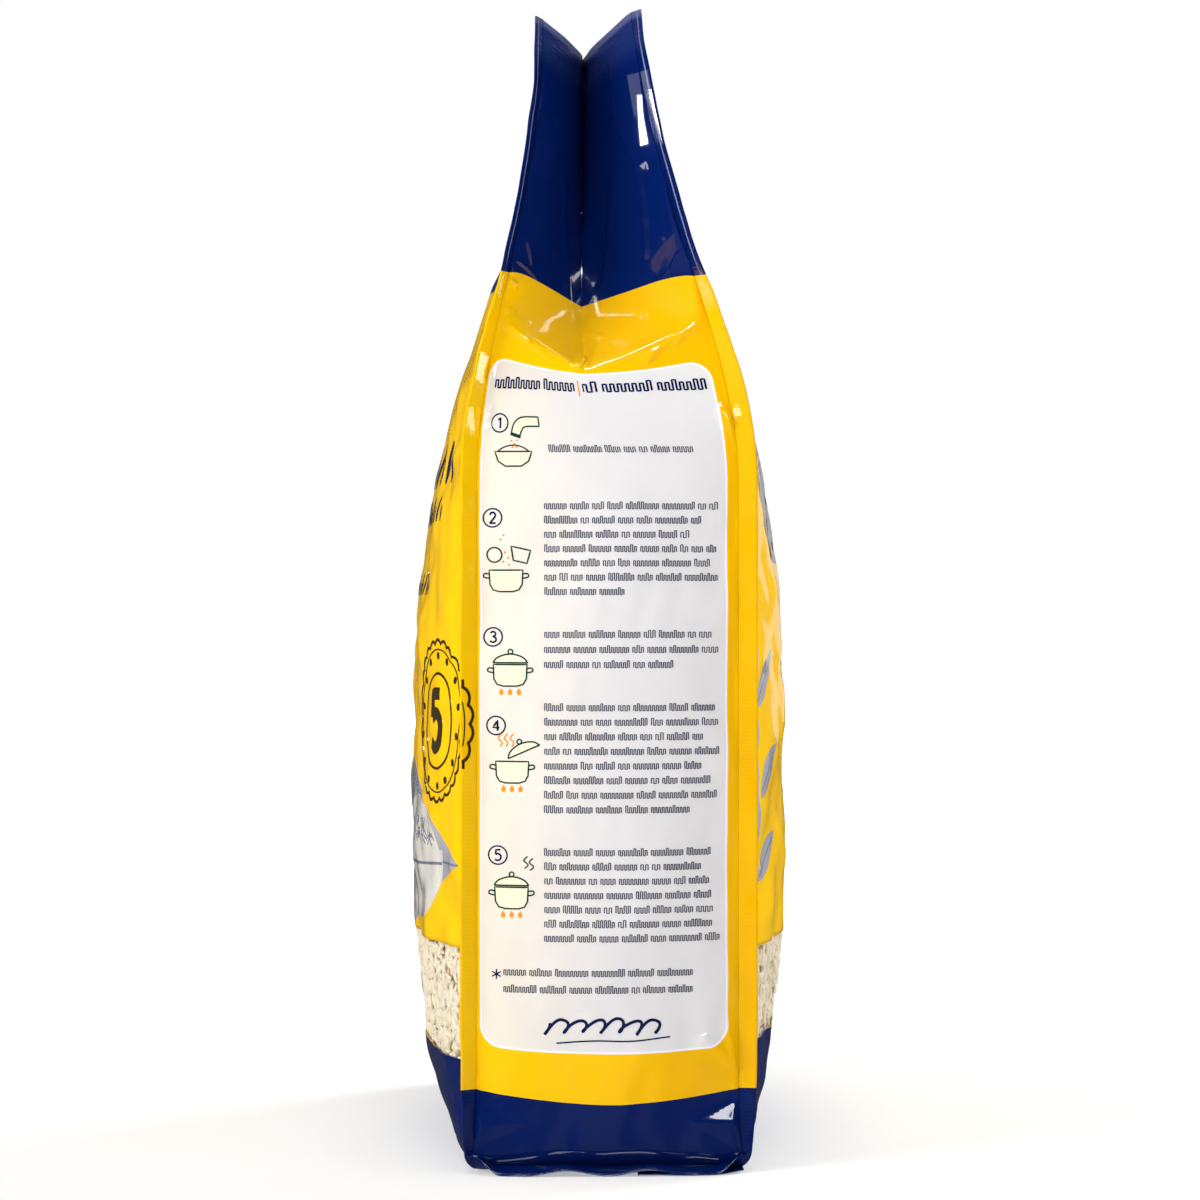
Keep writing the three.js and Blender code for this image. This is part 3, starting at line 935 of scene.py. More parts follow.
edge_film = fin_film()
window_film = clear_film()
navy_film = plain_film("navy_film", NAVY)
film_of_sides = side_film()
film_piece("film_side_right", [side], film_of_sides)
film_piece("film_side_left", [left_side], film_of_sides)
for name, sheet, window in (("front", front, front_window), ("back", back, back_window)):
    halves = [sheet.band(0, window[0]), sheet.band(window[1], sheet.v.max())]
    film_piece(f"film_{name}", halves, panel_film(f"{name}_film", window[0]))
for name, sheet, window in (("front", front, front_window), ("back", back, back_window)):
    film_piece(f"window_{name}", [sheet.band(*window)], window_film, WINDOW_THICKNESS)
film_piece("film_base", [base_sheet(front, back, side)], navy_film)
film_piece("fin_front_right", [front_fin], edge_film, FIN_THICKNESS)
film_piece("fin_back_right", [back_fin], edge_film, FIN_THICKNESS)
film_piece("fin_front_left", [front_fin_left], edge_film, FIN_THICKNESS)
film_piece("fin_back_left", [back_fin_left], edge_film, FIN_THICKNESS)

lip = lip_sheet(start=-46.5, end=46.5, root=(93.0, 3.4), reach=8.3, lift=1.0)
short_lip = lip_sheet(start=9.5, end=44.5, root=(94.0, 1.6), reach=7.9, lift=0.12)
film_piece("lip_right", [lip], navy_film, LIP_THICKNESS)
film_piece("lip_right_short", [short_lip], navy_film, LIP_THICKNESS)
film_piece("lip_left", [lip.mirrored()], navy_film, LIP_THICKNESS)
film_piece("lip_left_short", [short_lip.mirrored()], navy_film, LIP_THICKNESS)


# Rice behind the windows
BED_DEPTH = 2.6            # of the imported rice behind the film
BED_THICKNESS = 3.0
GRAIN_LAYERS = 5
FIRST_LAYER = 1.25         # depth of the outermost grains behind the film
LAYER_STEP = 0.45


def rice_bed():
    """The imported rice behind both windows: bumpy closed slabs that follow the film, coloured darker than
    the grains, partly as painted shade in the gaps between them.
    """
    slabs = []
    for sheet, window in ((front, front_window), (back, back_window)):
        part = sheet.band(window[0] - 5, window[1] + 5)
        inner = np.abs(part.u) < HALF_WIDTH - 0.7
        part.u = part.u[inner]
        part.top = part.top[inner]
        part.v = part.v[:, inner]
        part.points = part.points[:, inner]
        part.normals = part.normals[:, inner]
        part.raise_by(-BED_DEPTH + 0.5 * lumps(part.u, part.v, 7, 51))
        slabs.append(part)
    points, faces, places = joined_sheets(slabs, BED_THICKNESS)
    return mesh_object("rice_bed", points, faces, bed_material(), maps={"print": places[:, :2]})


# Milled grains: least and greatest length, width and thickness, then the rings of their shape
GRAIN_SIZES = ((5.8, 7.6), (1.8, 2.2), (1.5, 1.8))
GRAIN_SIDES = 6
GRAIN_RINGS = (0.10, 0.32, 0.68, 0.92)
GRAIN_GIRTHS = (0.62, 0.98, 0.96, 0.50)
GRAINS = 3500


def rice_grains():
    """Long milled grains lying against the windows, in one mesh."""
    draw = np.random.default_rng(61)
    turn = np.arange(GRAIN_SIDES) * 2 * math.pi / GRAIN_SIDES
    shape = [(-0.5, 0.0, 0.0)]
    for at, girth in zip(GRAIN_RINGS, GRAIN_GIRTHS):
        shape += [(at - 0.5, 0.5 * girth * math.cos(a), 0.5 * girth * math.sin(a)) for a in turn]
    shape.append((0.5, 0.0, 0.0))
    shape = np.array(shape)
    last = len(shape) - 1
    shell = [(0, 1 + (k + 1) % GRAIN_SIDES, 1 + k) for k in range(GRAIN_SIDES)]
    for ring in range(len(GRAIN_RINGS) - 1):
        low = 1 + ring * GRAIN_SIDES
        for k in range(GRAIN_SIDES):
            after = (k + 1) % GRAIN_SIDES
            shell.append((low + k, low + after, low + GRAIN_SIDES + after, low + GRAIN_SIDES + k))
    low = last - GRAIN_SIDES
    shell += [(low + k, low + (k + 1) % GRAIN_SIDES, last) for k in range(GRAIN_SIDES)]
    points, faces = [], []
    for number in range(GRAINS):
        sheet, window = ((front, front_window), (back, back_window))[number % 2]
        layer = (number // 2) % GRAIN_LAYERS
        u = draw.uniform(-HALF_WIDTH + 4, HALF_WIDTH - 4)
        v = draw.uniform(window[0] - 1, window[1] + 1)
        depth = -FIRST_LAYER - LAYER_STEP * layer + draw.uniform(-0.15, 0.15)
        here, beside, over = sheet.place([(u, v), (u + 0.5, v), (u, v + 0.5)], depth)
        east = (beside - here) / np.linalg.norm(beside - here)
        out = np.cross(east, over - here)
        out /= np.linalg.norm(out)
        north = np.cross(out, east)
        heading = draw.uniform(0, math.pi)
        along = east * math.cos(heading) + north * math.sin(heading) + out * draw.normal(0, 0.10)
        along /= np.linalg.norm(along)
        wide = np.cross(out, along)
        wide /= np.linalg.norm(wide)
        thick = np.cross(along, wide)
        size = [draw.uniform(*limits) for limits in GRAIN_SIZES]
        axes = np.array([along * size[0], wide * size[1], thick * size[2]])
        start = number * len(shape)
        points.append(here + shape @ axes)
        faces += [tuple(start + k for k in face) for face in shell]
    return mesh_object("rice_grains", np.concatenate(points), faces, grain_material())


rice_bed()
rice_grains()


# Fine print, as thin closed shapes on the film


class Ink:
    """Shapes of one colour, laid on one sheet of film."""

    def __init__(self, sheet, rise=0.07):
        self.sheet = sheet
        self.rise = rise
        self.points = []
        self.faces = []

    def grid(self, uv, wrap):
        """A grid of print places as a thin closed shape; wrap joins its last row to its first."""
        uv = np.asarray(uv, float)
        rows, columns = uv.shape[:2]
        edge_a = uv[1, 0] - uv[0, 0]
        edge_b = uv[0, -1] - uv[0, 0]
        if edge_a[0] * edge_b[1] - edge_a[1] * edge_b[0] > 0:
            uv = uv[:, ::-1]
        flat = uv.reshape(-1, 2)
        first = sum(map(len, self.points))
        count = len(flat)
        self.points.append(self.sheet.place(flat, self.rise))
        self.points.append(self.sheet.place(flat, -0.05))
        number = np.arange(count).reshape(rows, columns)
        if wrap:
            number = np.concatenate([number, number[:1]])
        a, b, c, d = (n.ravel() for n in (number[:-1, :-1], number[:-1, 1:], number[1:, 1:], number[1:, :-1]))
        quads = np.stack([a, b, c, d], 1)
        loops = [number[:, -1], number[::-1, 0]]
        if not wrap:
            loops = [np.concatenate([number[0], number[1:, -1], number[-1, -2::-1], number[-2::-1, 0]])]
        walls = [np.stack([n[1:], n[:-1], n[:-1] + count, n[1:] + count], 1) for n in loops]
        faces = np.concatenate([quads, quads[:, ::-1] + count] + walls) + first
        self.faces += faces.tolist()

    def stroke(self, path, width, closed=False, curved=True):
        """A line of that width along a path of print places."""
        path = smooth_path(path, closed) if curved else dense_path(path, closed)
        after = np.roll(path, -1, axis=0) if closed else np.concatenate([path[1:], path[-1:]])
        before = np.roll(path, 1, axis=0) if closed else np.concatenate([path[:1], path[:-1]])
        along = after - before
        along /= np.maximum(np.linalg.norm(along, axis=1, keepdims=True), 1e-9)
        left = np.stack([-along[:, 1], along[:, 0]], 1) * width / 2
        self.grid(np.stack([path + left, path - left], 1), closed)

    def bar(self, u, v, length, height):
        """A flat bar with round ends."""
        radius = height / 2
        bow = np.linspace(0, math.pi / 2, 5)
        ends = radius * (1 - np.cos(bow))
        body = np.linspace(radius, length - radius, max(2, int(length / 0.8)))[1:-1]
        at = np.concatenate([ends, body, length - ends[::-1]])
        half = np.full(len(at), radius)
        half[:5] = radius * np.sin(bow) + 0.02
        half[-5:] = (radius * np.sin(bow) + 0.02)[::-1]
        path = np.stack([u + at, np.full(len(at), v)], 1)
        tall = np.stack([0 * half, half], 1)
        self.grid(np.stack([path + tall * share for share in (1, 0.4, -0.4, -1)], 1), False)

    def area(self, outline, centre, rings=3):
        """A filled shape whose outline can be seen whole from its centre."""
        outline = np.asarray(outline, float)
        centre = np.asarray(centre, float)
        shares = np.concatenate([[0.004], np.arange(1, rings + 1) / rings])
        self.grid(centre + (outline[:, None] - centre) * shares[None, :, None], True)

    def ring(self, centre, outer, inner):
        """A band between two outlines given as distances from its centre, all the way round."""
        turn = np.arange(len(outer)) * 2 * math.pi / len(outer)
        way = np.stack([np.cos(turn), np.sin(turn)], 1)
        rims = np.stack([way * np.asarray(inner)[:, None], way * np.asarray(outer)[:, None]], 1)
        self.grid(np.asarray(centre) + rims, True)

    def piece(self, name, ink):
        mesh_object(name, np.concatenate(self.points), self.faces, inks[ink], smooth=False)


def dense_path(path, closed):
    path = np.asarray(path, float)
    ends = np.concatenate([path[1:], path[:1]]) if closed else path[1:]
    out = []
    for a, b in zip(path, ends):
        count = max(2, math.ceil(np.linalg.norm(b - a) / 1.2))
        out += [lerp(a, b, k / count) for k in range(count)]
    return np.array(out if closed else out + [path[-1]])


def smooth_path(path, closed):
    """A smooth curve through the places of a path."""
    path = np.asarray(path, float)
    if closed:
        padded = np.concatenate([path[-1:], path, path[:2]])
    else:
        padded = np.concatenate([2 * path[:1] - path[1:2], path, 2 * path[-1:] - path[-2:-1]])
    out = []
    for a, b, c, d in zip(padded, padded[1:], padded[2:], padded[3:]):
        count = max(2, math.ceil(np.linalg.norm(c - b) / 0.55))
        for k in range(count):
            t = k / count
            bend = 2 * b + (c - a) * t + (2 * a - 5 * b + 4 * c - d) * t**2 + (3 * b - a - 3 * c + d) * t**3
            out.append(bend / 2)
    return np.array(out if closed else out + [path[-1]])


def circle(centre, radius, count=28):
    turn = np.arange(count) * 2 * math.pi / count
    return np.stack([centre[0] + radius * np.cos(turn), centre[1] + radius * np.sin(turn)], 1)


def rounded_box(low, high, radius, step=2.5):
    """The outline of a rectangle with round corners, with places at most a step apart."""
    out = []
    corners = (((1, 1), 0), ((0, 1), 90), ((0, 0), 180), ((1, 0), 270))
    for (right, upper), start in corners:
        x = high[0] - radius if right else low[0] + radius
        y = high[1] - radius if upper else low[1] + radius
        for angle in np.radians(start + np.linspace(0, 90, 7)):
            out.append((x + radius * math.cos(angle), y + radius * math.sin(angle)))
    out = np.array(out)
    dense = []
    for a, b in zip(out, np.roll(out, -1, axis=0)):
        count = max(1, math.ceil(np.linalg.norm(b - a) / step))
        dense += [lerp(a, b, k / count) for k in range(count)]
    return np.array(dense)


# Strokes of plain digits in a box one high, from its lower left corner; True for a curved stroke
DIGITS = {
    1: [([(0.12, 0.78), (0.34, 1.0), (0.34, 0.0)], False)],
    2: [([(0.02, 0.76), (0.14, 0.97), (0.40, 0.98), (0.54, 0.74), (0.40, 0.46), (0.02, 0.0)], True),
        ([(0.02, 0.0), (0.58, 0.0)], False)],
    3: [([(0.03, 0.86), (0.22, 1.0), (0.46, 0.92), (0.48, 0.66), (0.24, 0.54)], True),
        ([(0.24, 0.54), (0.52, 0.42), (0.54, 0.12), (0.26, 0.0), (0.0, 0.12)], True)],
    4: [([(0.42, 0.0), (0.42, 1.0), (0.0, 0.30), (0.60, 0.30)], False)],
    5: [([(0.52, 1.0), (0.12, 1.0), (0.07, 0.56)], False),
        ([(0.07, 0.56), (0.32, 0.64), (0.55, 0.44), (0.50, 0.12), (0.24, 0.0), (0.0, 0.10)], True)],
}


def digit(ink, number, low, height, width):
    for path, curved in DIGITS[number]:
        places = [(low[0] + x * height, low[1] + y * height) for x, y in path]
        ink.stroke(places, width, curved=curved)


LETTER = 0.68              # width of a letter as a share of its height
STROKE = 0.215             # width of a stroke as a share of a letter's height
BOLD_LETTER = 0.84
BOLD_STROKE = 0.27
WORD_GAP = 0.85            # gap between words as a share of their height
TALL_SHARE = 0.2           # share of the upright strokes that rise above the others


def word_row(ink, start, end, v, height, draw, letter_share=LETTER, stroke_share=STROKE):
    """A row of small print as words of plain upright strokes, joined in turn above and below."""
    u = start
    gap = WORD_GAP * height
    while u < end - 2.2:
        letter = letter_share * height
        length = min(draw.integers(2, 10) * letter, end - u)
        if end - (u + length + gap) < 2.4:
            length = end - u
        strokes = max(4, 2 * round(length / letter))
        across = np.repeat(u + length * np.arange(strokes) / (strokes - 1), 2)
        tops = np.where(draw.uniform(size=strokes) < TALL_SHARE, 1.35, 1.0) * height
        up = np.zeros(2 * strokes)
        up[1::4] = tops[0::2]
        up[2::4] = tops[0::2][: len(up[2::4])]
        ink.stroke(np.stack([across, v - height / 2 + up], 1), stroke_share * height, curved=False)
        u += length + gap


def pot(cream, green, u, v):
    """A cooking pot with two handles; its rim's middle is at u, v."""
    right = [(5.4, 0), (5.2, -4.6), (4.2, -6.4), (2.2, -7.0)]
    left = [(-x, y) for x, y in right[::-1]]
    body = [(u + x, v + y) for x, y in left[-1:] + right + left[:-1]]
    cream.area(dense_path(body, True), (u, v - 3.4), 2)
    green.stroke(body, PEN, closed=True, curved=False)
    for way in (-1, 1):
        handle = [(5.3, -1.3), (6.9, -1.1), (7.2, -2.2), (5.2, -2.7)]
        green.stroke([(u + way * x, v + y) for x, y in handle], PEN)


def lid(cream, green, u, v, tilt=0.0):
    """A pot's lid with a knob; its rim's middle is at u, v."""
    turn = np.array([[math.cos(tilt), -math.sin(tilt)], [math.sin(tilt), math.cos(tilt)]])
    arc = np.array([(-5.6, 0), (-4.4, 1.5), (-2.2, 2.5), (0, 2.8), (2.2, 2.5), (4.4, 1.5), (5.6, 0)]) @ turn.T
    arc += (u, v)
    knob = np.array([(0, 3.6)]) @ turn.T + (u, v)
    cream.area(dense_path(arc, True), (np.array([(0, 1.1)]) @ turn.T + (u, v))[0], 2)
    green.stroke(arc, PEN)
    green.stroke([arc[0], arc[-1]], PEN, curved=False)
    green.stroke(circle(knob[0], 0.75, 12), 0.45, closed=True)


def steam(orange, u, v):
    for offset in (-1.9, 0.0, 1.9):
        wisp = [(0, 0), (0.7, 1.3), (-0.5, 2.7), (0.5, 4.2)]
        orange.stroke([(u + offset + x, v + y) for x, y in wisp], 0.45)


def flames(orange, u, v):
    for offset in (-2.8, 0.0, 2.8):
        tongue = [(0, 1.9), (0.75, 0.7), (0.5, -0.3), (-0.5, -0.3), (-0.75, 0.7)]
        orange.area([(u + offset + x, v + y) for x, y in tongue], (u + offset, v + 0.4), 1)


def tap_and_bowl(cream, green, orange, u, v):
    """A curved tap, drops under it, and a bowl of rice."""
    spout = [(-4.6, -1.2), (-3.4, 2.0), (-0.6, 3.9), (5.6, 4.1)]
    inner = [(-1.6, -2.2), (-0.8, -0.4), (0.6, 0.8), (5.6, 1.0)]
    rims = [smooth_path(path, False) + (u + 4, v + 4) for path in (spout, inner)]
    outline = np.concatenate([rims[0], rims[1][::-1]])
    middle = np.linspace(0, 1, 12)
    rims = [np.stack([np.interp(middle, np.linspace(0, 1, len(rim)), rim[:, k]) for k in (0, 1)], 1)
            for rim in rims]
    cream.grid(np.stack(rims, 1), False)
    green.stroke(outline, PEN, closed=True, curved=False)
    green.stroke([(u - 0.9, v + 2.4), (u + 2.6, v + 1.3)], 0.9, curved=False)
    for drop in ((-0.6, 0.2), (0.4, -0.9), (1.4, 0.3), (-0.2, -1.9), (1.1, -2.0)):
        orange.area(circle((u + drop[0], v + drop[1]), 0.33, 8), (u + drop[0], v + drop[1]), 1)
    bowl = [(-6.2, -3.4), (6.2, -3.4), (5.0, -6.6), (2.6, -8.2), (-2.6, -8.2), (-5.0, -6.6)]
    bowl = [(u + x, v + y) for x, y in bowl]
    cream.area(dense_path(bowl, True), (u, v - 5.4), 2)
    green.stroke(bowl, PEN, closed=True, curved=False)
    heap = [(-5.2, -3.2), (-3.0, -1.9), (0, -1.3), (3.0, -1.9), (5.2, -3.2)]
    green.stroke([(u + x, v + y) for x, y in heap], 0.45)


# The side label's steps: place of the number, and the rows of small print with their right ends
STEPS = [
    (1, (-35.8, 250.0), 241.4, 0.0, (28.3,), -18.9),
    (2, (-37.6, 218.9), 222.6, 4.66, (35.8, 30.2, 26.3, 35.4, 33.2, 35.8, 4.9), -20.8),
    (3, (-37.6, 180.0), 180.7, 4.9, (33.5, 35.8, 20.8), -20.8),
    (4, (-36.6, 151.1), 156.9, 4.74, (34.8, 35.8, 30.6, 36.0, 30.2, 33.2, 35.4, 26.3), -20.8),
    (5, (-36.0, 108.8), 109.8, 4.66, (33.5, 30.2, 32.8, 33.5, 34.1, 33.8, 36.4), -20.8),
]
RING_RADIUS = 3.0
DIGIT_HEIGHT = 3.5
SMALL_PRINT = 1.7          # height of the rows of small print
HEADING_PRINT = 2.5
PEN = 0.5                  # width of the lines of the small pictures


def serving_label():
    """The label of the +X side: five numbered steps with small pictures beside rows of small print.

    The pictures are rice under a tap, a pot being filled, and three pots over flames.
    """
    draw = np.random.default_rng(71)
    grey, navy = Ink(side), Ink(side)
    green, cream, orange = Ink(side, 0.09), Ink(side, 0.05), Ink(side, 0.08)
    for start, end in ((-38.6, -5.0), (-1.0, 36.6)):
        word_row(navy, start, end, 262.9, HEADING_PRINT, draw, BOLD_LETTER, BOLD_STROKE)
    orange.stroke([(-3.0, 260.0), (-3.0, 265.4)], 0.5, curved=False)
    for number, place, first, pitch, ends, start in STEPS:
        navy.stroke(circle(place, RING_RADIUS), 0.5, closed=True)
        digit(navy, number, (place[0] - 0.95, place[1] - DIGIT_HEIGHT / 2), DIGIT_HEIGHT, 0.62)
        for row, end in enumerate(ends):
            word_row(grey, start, end, first - row * pitch, SMALL_PRINT, draw)
    for v in (70.6, 65.1):
        word_row(grey, -34.0, 27.4, v, SMALL_PRINT, draw)
    for along, up in ((0.0, 1.6), (-1.4, 0.8), (-1.4, -0.8)):
        star = [(-36.4 + along, 70.0 + up), (-36.4 - along, 70.0 - up)]
        navy.stroke(star, 0.45, curved=False)
    tap_and_bowl(cream, green, orange, -31.0, 244.0)
    pot(cream, green, -33.4, 201.8)
    green.stroke(circle((-37.0, 206.8), 2.4, 20), PEN, closed=True)
    sachet = [(-31.6, 209.6), (-25.4, 208.2), (-26.6, 204.0), (-31.0, 205.0)]
    green.stroke(sachet, PEN, closed=True, curved=False)
    falling = [(-33.6, 207.6), (-32.6, 205.8), (-34.2, 204.6), (-32.4, 203.6), (-35.0, 211.8), (-34.0, 213.2)]
    for drop in falling:
        orange.area(circle(drop, 0.36, 8), drop, 1)
    pot(cream, green, -31.9, 171.0)
    lid(cream, green, -31.9, 171.6)
    flames(orange, -31.9, 161.4)
    pot(cream, green, -31.4, 139.4)
    lid(cream, green, -27.6, 142.6, 0.42)
    steam(orange, -33.4, 144.2)
    flames(orange, -31.4, 129.8)
    pot(cream, green, -31.6, 98.4)
    lid(cream, green, -31.6, 99.0)
    flames(orange, -31.6, 88.8)
    green.stroke([(-27.4, 104.6), (-26.2, 105.8), (-27.6, 107.2), (-26.4, 108.6)], 0.45)
    green.stroke([(-25.6, 104.0), (-24.4, 105.2), (-25.8, 106.6), (-24.6, 108.0)], 0.45)
    flourish(navy, 0.0, 53.4)
    grey.piece("label_small_print", "ink_grey")
    navy.piece("label_numbers", "ink_navy")
    green.piece("label_pictures", "ink_green")
    cream.piece("label_picture_fills", "ink_cream")
    orange.piece("label_picture_marks", "ink_orange")


def flourish(ink, u, v):
    """A plain pen flourish."""
    turn = np.linspace(-0.5 * math.pi, 12.4 * math.pi, 260)
    swell = 0.85 + 0.15 * np.cos(turn * 0.8)
    for tall in (2.1, 21.0, 33.4):
        swell += 0.75 * np.exp(-(((turn - tall) / 1.3) ** 2))
    up = 2.2 * swell * np.cos(turn + 2.6)
    across = u - 19.5 + 0.95 * turn - 1.5 * np.sin(turn) + 0.35 * up
    ink.stroke(np.stack([across, v + up], 1), 1.0, curved=False)
    ink.stroke([(u - 17, v - 5.6), (u - 5, v - 4.8), (u + 7, v - 4.9), (u + 20, v - 3.6)], 0.5)


def table_label():
    """The label of the -X side: a plain table of rows and three blocks of small print."""
    draw = np.random.default_rng(83)
    grey, navy, orange = Ink(left_side), Ink(left_side), Ink(left_side, 0.08)
    for start, end in ((-36.0, -20.4), (-19.0, -10.0), (-8.6, 8.2)):
        navy.bar(start, 255.0, end - start, 2.3)
    for row in range(9):
        v = 244.0 - row * 9.0
        navy.stroke([(-37.0, v), (34.0, v)], 0.35, curved=False)
        if row < 8:
            word_row(grey, -34.5, draw.uniform(-16, -4), v - 4.5, 1.5, draw)
            word_row(grey, 20.0, draw.uniform(26, 31), v - 4.5, 1.5, draw)
    for u in (-37.0, 15.0, 34.0):
        navy.stroke([(u, 244.0), (u, 172.0)], 0.35, curved=False)
    for top_row, rows in ((160.0, 7), (118.0, 6), (84.0, 5)):
        orange.bar(-36.0, top_row, 1.9, 1.9)
        for row in range(rows):
            end = draw.uniform(22, 33) if row < rows - 1 else draw.uniform(-8, 14)
            word_row(grey, -32.0, end, top_row - row * 4.7, 1.45, draw)
    flourish(navy, 0.0, 53.4)
    grey.piece("table_small_print", "ink_grey")
    navy.piece("table_lines", "ink_navy")
    orange.piece("table_marks", "ink_orange")


BADGE = (68.0, 151.5)
BADGE_RADIUS = 28.0
BADGE_STEPS = 312          # points round each of the badge's lines
SCALLOPS = 26
FIN_PRINT_END = 97.0       # how far across the front's print the fin's root takes up


class FinPrint:
    """The front's print where it runs on over the face of the fin."""

    def __init__(self, sheet):
        self.sheet = sheet

    def place(self, uv, rise):
        across = [(-HALF_SIDE - (FIN_PRINT_END - u), v) for u, v in uv]
        return self.sheet.place(across, rise)


def badge_outline(radius, depth):
    """Distances from the badge's middle to a scalloped line round it."""
    turn = np.arange(BADGE_STEPS) * 2 * math.pi / BADGE_STEPS
    return radius + depth * np.abs(np.sin(turn * SCALLOPS / 2)) ** 0.8


# Rows of grain-shaped marks on the front: right end, height, size of a mark, count
NAME_ROWS = [(66.0, 240.0, 15.0, 14), (60.0, 224.0, 9.0, 21), (46.0, 199.0, 8.0, 18)]


def grain_mark(ink, u, v, tall, number):
    """A slanting grain shape, each second one smaller and lower."""
    size = tall / 2 * (1.0 if number % 2 else 0.62)
    turn = np.arange(24) * 2 * math.pi / 24
    along, aside = size * np.sin(turn), 0.3 * size * np.cos(turn)
    spot = (u, v - tall / 2 + size)
    ink.area(np.stack([spot[0] + aside + 0.3 * along, spot[1] + along], 1), spot, 3)


def front_print():
    """The broad front: rows of grain marks, a bowl of rice on a grey cloth, and a round weight badge."""
    navy, grey, pale = Ink(front, 0.12), Ink(front, 0.12), Ink(front, 0.18)
    for end, v, tall, count in NAME_ROWS:
        for number in range(count):
            grain_mark(navy, end - 0.62 * tall * number, v, tall, number)
    cloth = dense_path([(92, 104), (20, 139), (-58, 108), (14, 79)], True)
    grey.area(cloth, (17, 108), 26)
    fold = Ink(front, 0.18)
    fold.stroke([(92, 104), (52, 103), (30, 92)], 0.7)
    fold.stroke([(20, 139), (30, 128), (56, 112)], 0.7)
    fold.stroke([(-58, 108), (-30, 112), (-12, 124)], 0.7)
    heap = [(6, 108), (14, 117), (26, 124), (40, 126), (54, 122), (64, 115), (70, 108)]
    heap = smooth_path(heap, False)
    pale.area(np.concatenate([heap, dense_path([(70, 108), (6, 108)], False)[1:-1]]), (38, 113), 8)
    bowl = [(2, 108), (6, 96), (18, 87), (28, 84), (48, 84), (58, 87), (70, 96), (74, 108)]
    bowl = smooth_path(bowl, False)
    dish = Ink(front, 0.24)
    dish.area(np.concatenate([bowl, dense_path([(74, 108), (2, 108)], False)[1:-1]]), (38, 99), 10)
    band = Ink(front, 0.32)
    band.stroke([(3.5, 103.5), (38, 102.5), (72.5, 103.5)], 1.0)
    draw = np.random.default_rng(91)
    grains = Ink(front, 0.27)
    for _ in range(70):
        u = draw.uniform(12, 64)
        v = draw.uniform(110, 121 - abs(u - 38) * 0.24)
        way = draw.uniform(0, math.pi)
        step = np.array([math.cos(way), math.sin(way)]) * 1.7
        grains.stroke([(u, v) - step, (u, v) + step], 0.55, curved=False)
    badge = Ink(front, 0.2)
    badge_lines(badge, 0.0)
    for number in range(14):
        turn = 2 * math.pi * (number + 0.5) / 14
        spot = (BADGE[0] + 22 * math.cos(turn), BADGE[1] + 22 * math.sin(turn))
        badge.area(circle(spot, 1.3, 12), spot, 1)
    digit(badge, 5, (BADGE[0] - 5.4, BADGE[1] - 9.2), 18.4, 4.2)
    fin = Ink(FinPrint(front_fin), 0.08)
    badge_lines(fin, FIN_PRINT_END - FIN_WIDTH + 0.5)
    navy.piece("front_grain_marks", "ink_navy")
    grey.piece("front_cloth", "ink_cloth")
    fold.piece("front_cloth_folds", "ink_fold")
    pale.piece("front_heap", "ink_pale")
    grains.piece("front_heap_grains", "ink_fold")
    dish.piece("front_bowl", "ink_pale")
    band.piece("front_bowl_line", "ink_fold")
    badge.piece("front_badge", "ink_badge")
    fin.piece("front_badge_on_fin", "ink_badge")


def badge_lines(ink, beyond):
    """The badge's scalloped line and its two rings, only where they lie beyond a place across."""
    turn = np.arange(BADGE_STEPS) * 2 * math.pi / BADGE_STEPS
    way = np.stack([np.cos(turn), np.sin(turn)], 1)
    scallops = badge_outline(BADGE_RADIUS - 1.4, 1.4)
    thin_ring = badge_outline(BADGE_RADIUS - 3.6, 0.0)
    inner_ring = np.full(BADGE_STEPS, 16.5)
    for outer, width in ((scallops, 1.1), (inner_ring, 0.9), (thin_ring, 0.5)):
        if not beyond:
            ink.ring(BADGE, outer, outer - width)
            continue
        path = np.asarray(BADGE) + way * (outer - width / 2)[:, None]
        path = np.roll(path, BADGE_STEPS // 2, axis=0)
        kept = path[(path[:, 0] > beyond) & (path[:, 0] < FIN_PRINT_END - 0.3)]
        gaps = np.nonzero(np.linalg.norm(np.diff(kept, axis=0), axis=1) > 2)[0] + 1
        for run in np.split(kept, gaps):
            if len(run) > 3:
                ink.stroke(run, width, curved=False)


def leaf(fill, vein, foot, tip, width):
    """A plain leaf from its foot to its tip."""
    foot, tip = np.array(foot, float), np.array(tip, float)
    along = tip - foot
    aside = np.array([-along[1], along[0]]) / np.linalg.norm(along)
    share = np.linspace(0, 1, 25)
    bow = np.sin(math.pi * share**0.8)[:, None] * width / 2
    spine = foot + along * share[:, None] + aside * 0.12 * width * np.sin(math.pi * share)[:, None]
    columns = np.linspace(-1, 1, 9)
    fill.grid(spine[:, None] + aside * columns[None, :, None] * bow[:, None], False)
    vein.stroke(spine[2:-3:3], 0.5)


# Leaves of a spray on the back: height of the foot, reach outwards, rise
LEAVES = [(98, -30, 16), (112, 10, 20), (126, -30, 18), (142, 11, 20), (156, -28, 20)]


